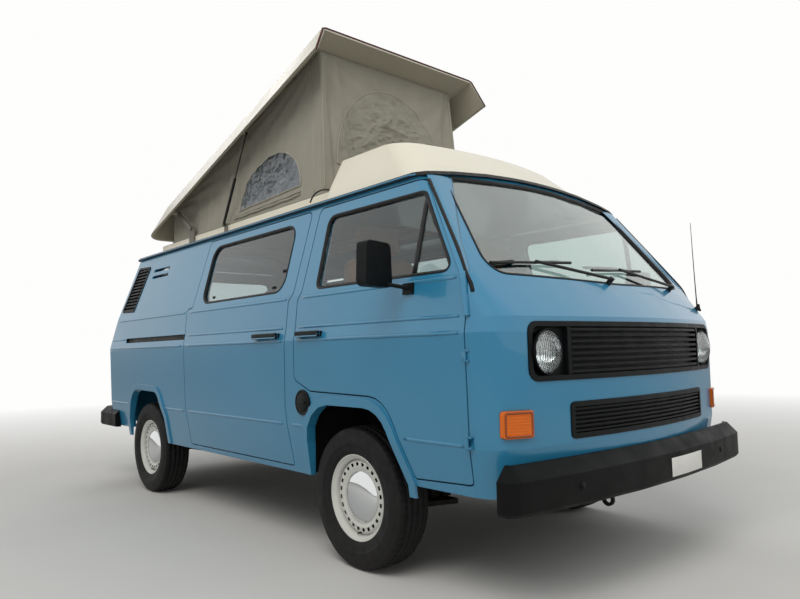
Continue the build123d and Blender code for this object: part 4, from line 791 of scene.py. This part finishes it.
# Headlamps. A profile gives distances behind the lamp's front, and radii.
POLE, DOME_DEEP, DOME_STEPS = 0.0004, 0.026, 12
GLASS_R = LAMP_R * 0.985
dome = [(DOME_DEEP - DOME_DEEP * cos(pi / 2 * i / DOME_STEPS), GLASS_R * sin(pi / 2 * i / DOME_STEPS))
        for i in range(DOME_STEPS + 1)]
dome[0] = (0.0, POLE)
inside = [(d + 0.003, max(r - 0.0028, POLE)) for d, r in reversed(dome)]
rear = [(0.034, GLASS_R), (0.034, LAMP_R * 0.95)]
bowl = [(d, LAMP_R * share) for d, share in ((0.032, 0.94), (0.04, 0.91), (0.06, 0.8), (0.08, 0.62),
                                             (0.092, 0.42), (0.098, 0.2))]
ring = [(d, LAMP_R * share) for d, share in ((0.022, 1.005), (0.018, 1.03), (0.021, 1.055),
                                             (0.036, 1.055), (0.036, 0.985), (0.024, 0.985))]
LAMP_PARTS = (
    ("lens", dome + rear + inside, LENS, 96, False, "lamp_glass"),
    ("bowl", bowl + [(0.1, POLE)], CHROME, 96, False, "lamp_glass"),
    ("bulb", [(0.056, POLE), (0.057, 0.008), (0.062, 0.012), (0.09, 0.012)], CHROME, 48, False,
     "lamp_glass"),
    ("ring", ring, BLACK, 96, True, PLASTIC),
)
low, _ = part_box("headlamps")
for side, sign in SIDES:
    front = Vector((sign * LAMP_X, low.y, LAMP_Z))
    for part, profile, material, segments, closed, slot in LAMP_PARTS:
        made = lathe(f"lamp_{part}_{side}", profile, material, "van", front, (0, 1, 0), segments,
                     closed)
        if part == "lens":
            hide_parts("headlamps")

# Blank plate, bolts and aerial
PLATE_X, PLATE_WIDE, PLATE_STEPS = 0.04, 0.3, 8
bumper_tree = bvh_of("front_bumper")
corners = []
for z in (0.418, 0.498):
    for i in range(PLATE_STEPS + 1):
        hit, _ = hit_of(bumper_tree, from_front((PLATE_X + PLATE_WIDE * i / PLATE_STEPS, z)))
        corners.append(hit + Vector((0, -0.001, 0)))
plate = piece("plate_blank", corners, grid(2, PLATE_STEPS + 1, False, False), PLATE)
modifier(plate, "SOLIDIFY", thickness=0.0015, offset=1)
modifier(plate, "BEVEL", width=0.0006, segments=2)
BOLT = [(-0.004, 0.014), (0.002, 0.014), (0.005, 0.011), (0.007, 0.006), (0.0072, 0.0002)]
for k, x in enumerate((-0.59, 0.59)):
    hit, _ = hit_of(bumper_tree, from_front((x, 0.472)))
    lathe(f"bumper_bolt_{k}", BOLT, BLACK, "van", hit, (0, -1, 0), 32)
MAST = [(0.8, -2.086, 1.19), (0.801, -2.084, 1.23), (0.803, -2.08, 1.33),
        (0.806, -2.075, 1.48), (0.81, -2.07, 1.64)]
tube("aerial_mast", MAST, [0.0042, 0.003, 0.0024, 0.002, 0.0014], DARK_METAL)
lathe("aerial_foot", [(-0.004, 0.02), (0.003, 0.02), (0.01, 0.014), (0.022, 0.008), (0.03, 0.0052)],
      BLACK, "van", (0.8, -2.086, 1.168), (0.0, -0.35, 1.0), 40)

# Tent. Its walls are numbered right, front, left, rear, each from its first corner to the next.
TENT_FOOT_Z = DECK_TOP + 0.001
TENT_BASE = [(x, y, TENT_FOOT_Z) for x, y in ((-0.578, 1.5), (-0.578, -0.6), (0.578, -0.6), (0.578, 1.5))]
TENT_HEAD = [(-0.568, 1.512, 2.163), (-0.546, -0.536, 2.771), (0.546, -0.536, 2.771), (0.568, 1.512, 2.163)]
INWARD = [Vector((1, 0, 0)), Vector((0, 1, 0)), Vector((-1, 0, 0)), Vector((0, -1, 0))]
TENT_STEPS = (110, 90, 110, 60)
TENT_ROWS = 48
FRONT_WALL = 1
# How often a corner's pull turns round it, how fast it fades and how deep it is
PULLS, PULL_FADE, PULL_DEEP = 15, 2.4, 0.018
# Pleats beside the front wall's corners: place and lean as shares of the wall, width, depth
PLEATS = ((0.045, 0.05, 0.014, 0.014), (0.085, 0.11, 0.012, -0.007), (0.125, 0.15, 0.012, 0.009),
          (0.955, -0.08, 0.014, 0.012))


def tent_point(wall, t, v):
    """Point of the canvas at shares along and up one of its walls, before its wrinkles."""
    low, top = (Vector(row[wall]).lerp(Vector(row[(wall + 1) % 4]), t) for row in (TENT_BASE, TENT_HEAD))
    return low.lerp(top, v)


def uneven(p, across, upward, offset):
    """Noise at a point, scaled across and upward and moved by an offset."""
    return noise.noise(Vector((p.x * across, p.y * across, p.z * upward)) + Vector(offset))


def tent_sag(wall, t, v, p):
    """How far the canvas lies inside its straight wall."""
    edge = sin(pi * t) ** 0.5 * sin(pi * v) ** 0.6 if 0 < t < 1 and 0 < v < 1 else 0.0
    soft = uneven(p, 2.3, 1.1, (3, 1, 7))
    crease = uneven(p, 9, 3.5, (9, 4, 2))
    fine = 1.0 - abs(uneven(p, 14, 6, (2, 8, 5))) * 2.0
    pulls = 0.0
    for corner_t in (0.0, 1.0):
        angle = atan2(1 - v + 0.02, abs(t - corner_t) + 0.02)
        reach = hypot(1 - v, t - corner_t)
        pulls += sin(angle * PULLS + wall) * exp(-reach * PULL_FADE) * PULL_DEEP
    pleat = 0.0
    if wall == FRONT_WALL:
        for place, lean, width, deep in PLEATS:
            pleat += deep * exp(-((t - place - lean * (1 - v)) / width) ** 2)
    sag = 0.016 + soft * 0.02 + crease * 0.012 + fine * 0.007 + pulls
    return edge * sag + pleat * 1.5 * min(1.0, edge * 3)


def hung(wall, t, v, inside=0.0):
    """Point of the hung canvas, or one further inside."""
    p = tent_point(wall, t, v)
    return p + INWARD[wall] * (tent_sag(wall, t, v, p) + inside)


columns = [(wall, i / steps) for wall, steps in enumerate(TENT_STEPS) for i in range(steps)]
verts = [hung(wall, t, j / TENT_ROWS) for wall, t in columns for j in range(TENT_ROWS + 1)]
faces = flipped(grid(len(columns), TENT_ROWS + 1, True, False))
tent = piece("tent_canvas_walls", verts, faces, CANVAS, "van")
modifier(tent, "SOLIDIFY", thickness=0.0016, offset=0)

MOON_ACROSS, MOON_UP = 96, 64
MOON_LIFT, ZIP_LIFT = 0.0034, 0.001


def crumple(p, depth):
    """Height of a panel's creases over the canvas: soft folds, finer ones, and sharp ridges."""
    at = Vector((p.x + p.y, p.z * 1.6, 0))
    folds = noise.noise(at * 13) + 0.6 * (0.5 - abs(noise.noise(at * 24)) * 2)
    ridges = max(0.0, 1 - 7 * abs(noise.noise(at * 5.5 + Vector((4, 2, 1)))))
    return max(0.0, folds * depth + ridges * depth * 0.55 + depth * 0.3)


def moon(name, wall, centre_t, half, base_v, rise, material, depth, power):
    """Half-moon panel sewn on the canvas, with its zip round it, its sizes as shares of the wall."""
    verts = []
    for i in range(MOON_ACROSS + 1):
        s = -1 + 2 * i / MOON_ACROSS
        top = (1 - abs(s) ** power) ** (1 / power)
        for j in range(MOON_UP + 1):
            t, v = centre_t + s * half, base_v + j / MOON_UP * top * rise
            share = sin(pi * j / MOON_UP) * (1 - s * s)
            lift = MOON_LIFT + crumple(tent_point(wall, t, v), depth) * share
            verts.append(hung(wall, t, v, -lift))
    rows = MOON_UP + 1
    faces = flipped(grid(MOON_ACROSS + 1, rows, False, False))
    panel = piece(name, verts, faces, material, "van", outward=False)
    edge = [p - INWARD[wall] * ZIP_LIFT for p in verts[MOON_UP::rows] + verts[::rows][::-1][1:-1]]
    return panel, tube(f"{name}_zip", edge, 0.0046, PIPING, "van", True, 8, 0.8)


MOONS = [
    moon("tent_flap_front", 1, 0.485, 0.385, 0.235, 0.61, FLAP, 0.017, 2.1),
    moon("tent_window_right", 0, 0.7, 0.185, 0.13, 0.4, MESH, 0.013, 2.0),
    moon("tent_window_left", 2, 0.3, 0.185, 0.13, 0.4, MESH, 0.013, 2.0),
]

# Rolled flaps below the side windows, seams and hem
ROLL_STEPS, ROLL_LONG, SEAM_STEPS = 40, 0.4, 30
rolls = []
for name, wall, start in (("right", 0, 0.485), ("left", 2, 0.115)):
    for row, (v, size) in enumerate(((0.06, 0.015), (0.084, 0.011))):
        line, thick = [], []
        for i in range(ROLL_STEPS + 1):
            line.append(hung(wall, start + ROLL_LONG * i / ROLL_STEPS,
                             v + 0.003 * sin(i * 0.7 + row), -0.002))
            thick.append(size * (0.85 + 0.2 * noise.noise(Vector((i * 0.4, row * 5, wall)))))
        thick[0] = thick[-1] = size * 0.3
        rolls.append((name, tube(f"tent_roll_{name}_{row}", line, thick, FLAP, "van", False, 12,
                                 0.6)))
seams = []
for k, (wall, t) in enumerate(((1, 0.012), (1, 0.988), (0, 0.955), (2, 0.045))):
    line = [hung(wall, t, i / SEAM_STEPS, -0.002) for i in range(1, SEAM_STEPS)]
    seams.append(tube(f"tent_seam_{k}", line, 0.0034, PIPING, sides=8))
hem = [tent_point(w, t, 0.0) - INWARD[w] * 0.002 + Vector((0, 0, 0.006)) for w, t in columns]
hem_piece = tube("tent_hem", hem, 0.006, CANVAS, "van", True, 8)


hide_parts("tent")
for soft in [tent, hem_piece] + seams + [roll for _, roll in rolls] + [p for pair in MOONS for p in pair]:
    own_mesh(soft)

# Edge trim of the lid, and the strap beside the tray
LID_RIM = [(-0.704, -0.73, 2.664), (-0.6235, -0.6835, 2.825), (-0.6, -0.6795, 2.834)]
tube("lid_edge_trim", LID_RIM + [(-x, y, z) for x, y, z in reversed(LID_RIM)], 0.0064, TRIM, "roof_lid")
STRAP = [(-0.645, -0.775, 1.868), (-0.655, -0.747, 1.873), (-0.657, -0.715, 1.879),
         (-0.657, -0.685, 1.88), (-0.659, -0.656, 1.876), (-0.662, -0.632, 1.866),
         (-0.665, -0.616, 1.85), (-0.672, -0.606, 1.824)]
strap = tube("lid_strap", STRAP, 0.0045, RUBBER_AND_GUTTER_SHADE)
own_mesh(strap)

# Soft parts inside
CROWN = 0.14
SQUARENESS = 7
CHANNEL_DEEP, CHANNEL_WIDE = 0.16, 0.035


def cushion(name, middle, half, node, tilt=0.0, channels=()):
    """Crowned pad with sewn channels across it."""
    work = bmesh.new()
    bmesh.ops.create_cube(work, size=2.0)
    bmesh.ops.subdivide_edges(work, edges=work.edges, cuts=23, use_grid_fill=True)
    turn = Matrix.Rotation(radians(tilt), 3, "X")
    thin = min(range(3), key=lambda k: half[k])
    long = 2 if thin != 2 else 1
    verts = []
    for vert in work.verts:
        p = vert.co.copy()
        p /= sum(abs(c) ** SQUARENESS for c in p) ** (1 / SQUARENESS)
        flat = [p[k] for k in range(3) if k != thin]
        p[thin] *= 1 - CROWN + CROWN * (1 - flat[0] ** 2) * (1 - flat[1] ** 2)
        for line in channels:
            p[thin] *= 1 - CHANNEL_DEEP * exp(-((p[long] - line) / CHANNEL_WIDE) ** 2)
        verts.append(Vector(middle) + turn @ Vector([p[k] * half[k] for k in range(3)]))
    work.verts.index_update()
    faces = [[vert.index for vert in face.verts] for face in work.faces]
    work.free()
    obj = piece(name, verts, faces, SEAT, "van")
    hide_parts(node)


for side, sign in SIDES:
    x = sign * 0.46
    cushion(f"seat_cushion_{side}", (x, -1.245, 0.955), (0.243, 0.243, 0.054), "cab_seats",
            channels=(-0.5, -0.1, 0.3))
    cushion(f"seat_back_{side}", (x, -0.997, 1.215), (0.233, 0.056, 0.262), "cab_seats", -9.5,
            (-0.45, 0.0, 0.45))
    cushion(f"seat_head_{side}", (x, -0.942, 1.575), (0.128, 0.048, 0.073), "cab_seats", -8)
    rounded_box(f"seat_base_{side}", (x - 0.219, -1.419, 0.791), (x + 0.219, -1.001, 0.902), BLACK,
                "van", 0.012)
    for part, shift in (("a", -0.052), ("b", 0.052)):
        tube(f"seat_post_{side}_{part}", [(x + shift, -0.955, 1.44), (x + shift, -0.945, 1.53)],
             0.006, CHROME)
cushion("bench_cushion", (-0.17, 0.82, 0.815), (0.468, 0.258, 0.065), "rear_bench", channels=(-0.35, 0.35))
cushion("bench_back", (-0.17, 1.108, 1.08), (0.468, 0.052, 0.24), "rear_bench", -9, (-0.4, 0.4))
cushion("bed_mattress", (-0.13, 1.52, 0.85), (0.5, 0.27, 0.049), "rear_bench", channels=(-0.5, 0.0, 0.5))
bench = rounded_box("bench_box", (-0.638, 0.565, 0.441), (0.298, 0.86, 0.752), WOOD, "van", 0.01)
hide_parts("rear_bench")

# Floor, which fades into the backdrop with distance, world, lights and camera
FLOOR_HALF = 60
FADE_START, FADE_END = 3.0, 11.0
BACKDROP = (0.99, 0.99, 0.98, 1.0)
floor = bpy.data.meshes.new("floor")
floor.from_pydata([(x * FLOOR_HALF, y * FLOOR_HALF, 0) for x, y in ((-1, -1), (1, -1), (1, 1), (-1, 1))],
                  [], [(0, 1, 2, 3)])
floor_obj = new_object("floor", floor)
ground = Surface("pale_floor", "cfcecb", 0.9, specular=0.1).vary(0.015, 1.5, 0.03)
floor.materials.append(ground.grain(60, 0.0005).done())
far = ground.node("ShaderNodeVectorMath", {0: ground.coord}, operation="LENGTH").outputs["Value"]
share = ground.math("MULTIPLY", ground.ramp(far, FADE_START, FADE_END, 0, 1),
                    ground.node("ShaderNodeLightPath").outputs["Is Camera Ray"])
glow = ground.node("ShaderNodeEmission", {"Color": BACKDROP})
blend = ground.node("ShaderNodeMixShader", {0: share, 1: ground.shader.outputs[0], 2: glow.outputs[0]})
feed(ground.tree, ground.tree.nodes["Material Output"], {"Surface": blend.outputs[0]})

# The world is bright where it is seen, mirrored or looked at through glass, and weaker as a light.
WORLD_LIGHT, WORLD_SEEN = 0.44, 1.0
world = bpy.data.worlds.new("studio")
bpy.context.scene.world = world
world.use_nodes = True
studio = world.node_tree
rays = add(studio, "ShaderNodeLightPath").outputs
seen = rays["Is Camera Ray"]
for kind in ("Is Glossy Ray", "Is Transmission Ray"):
    seen = add(studio, "ShaderNodeMath", {0: seen, 1: rays[kind]}, operation="MAXIMUM").outputs[0]
strength = add(studio, "ShaderNodeMapRange", {0: seen, 3: WORLD_LIGHT, 4: WORLD_SEEN}).outputs[0]
feed(studio, studio.nodes["Background"], {"Strength": strength, "Color": BACKDROP})

# Lamps: place, target, size, power, colour, and whether glossy surfaces mirror them
for name, place, target, size, power, color, mirrored in (
        ("key", (-5.5, -4.0, 7.5), (0, 0, 1.0), (6.0, 5.0), 430, (1.0, 0.99, 0.96), False),
        ("front_fill", (3.5, -8.0, 5.0), (0, -1.5, 1.0), (5.0, 4.0), 135, (0.98, 1.0, 1.0), False),
        ("back", (3.0, 7.5, 6.5), (0, 0.5, 1.5), (6.0, 4.0), 190, (1.0, 1.0, 1.0), True)):
    light = bpy.data.lights.new(name, "AREA")
    light.shape = "RECTANGLE"
    light.size, light.size_y = size
    light.energy = power
    light.color = color
    lamp = new_object(name, light)
    lamp.location = place
    lamp.rotation_euler = (Vector(target) - Vector(place)).to_track_quat("-Z", "Y").to_euler()
    lamp.visible_glossy = mirrored

# Camera as solved from the photograph
CAMERA_PLACE = (-2.7483, -3.6972, 0.9867)
YAW, PITCH, ROLL = 0.7245, 0.0758, -0.0218
LENS_MM, SENSOR_MM = 29.94, 36.0
forward = Vector((sin(YAW) * cos(PITCH), cos(YAW) * cos(PITCH), sin(PITCH)))
right = forward.cross(Vector((0, 0, 1))).normalized()
up = right.cross(forward)
right, up = right * cos(ROLL) + up * sin(ROLL), up * cos(ROLL) - right * sin(ROLL)
camera_data = bpy.data.cameras.new("camera")
camera_data.lens = LENS_MM
camera_data.sensor_width = SENSOR_MM
camera_data.sensor_fit = "HORIZONTAL"
camera_data.clip_end = 500
camera = new_object("camera", camera_data)
pose = Matrix((right, up, -forward)).transposed().to_4x4()
pose.translation = CAMERA_PLACE
camera.matrix_world = pose
bpy.context.scene.camera = camera
bpy.context.scene.view_settings.view_transform = "Standard"
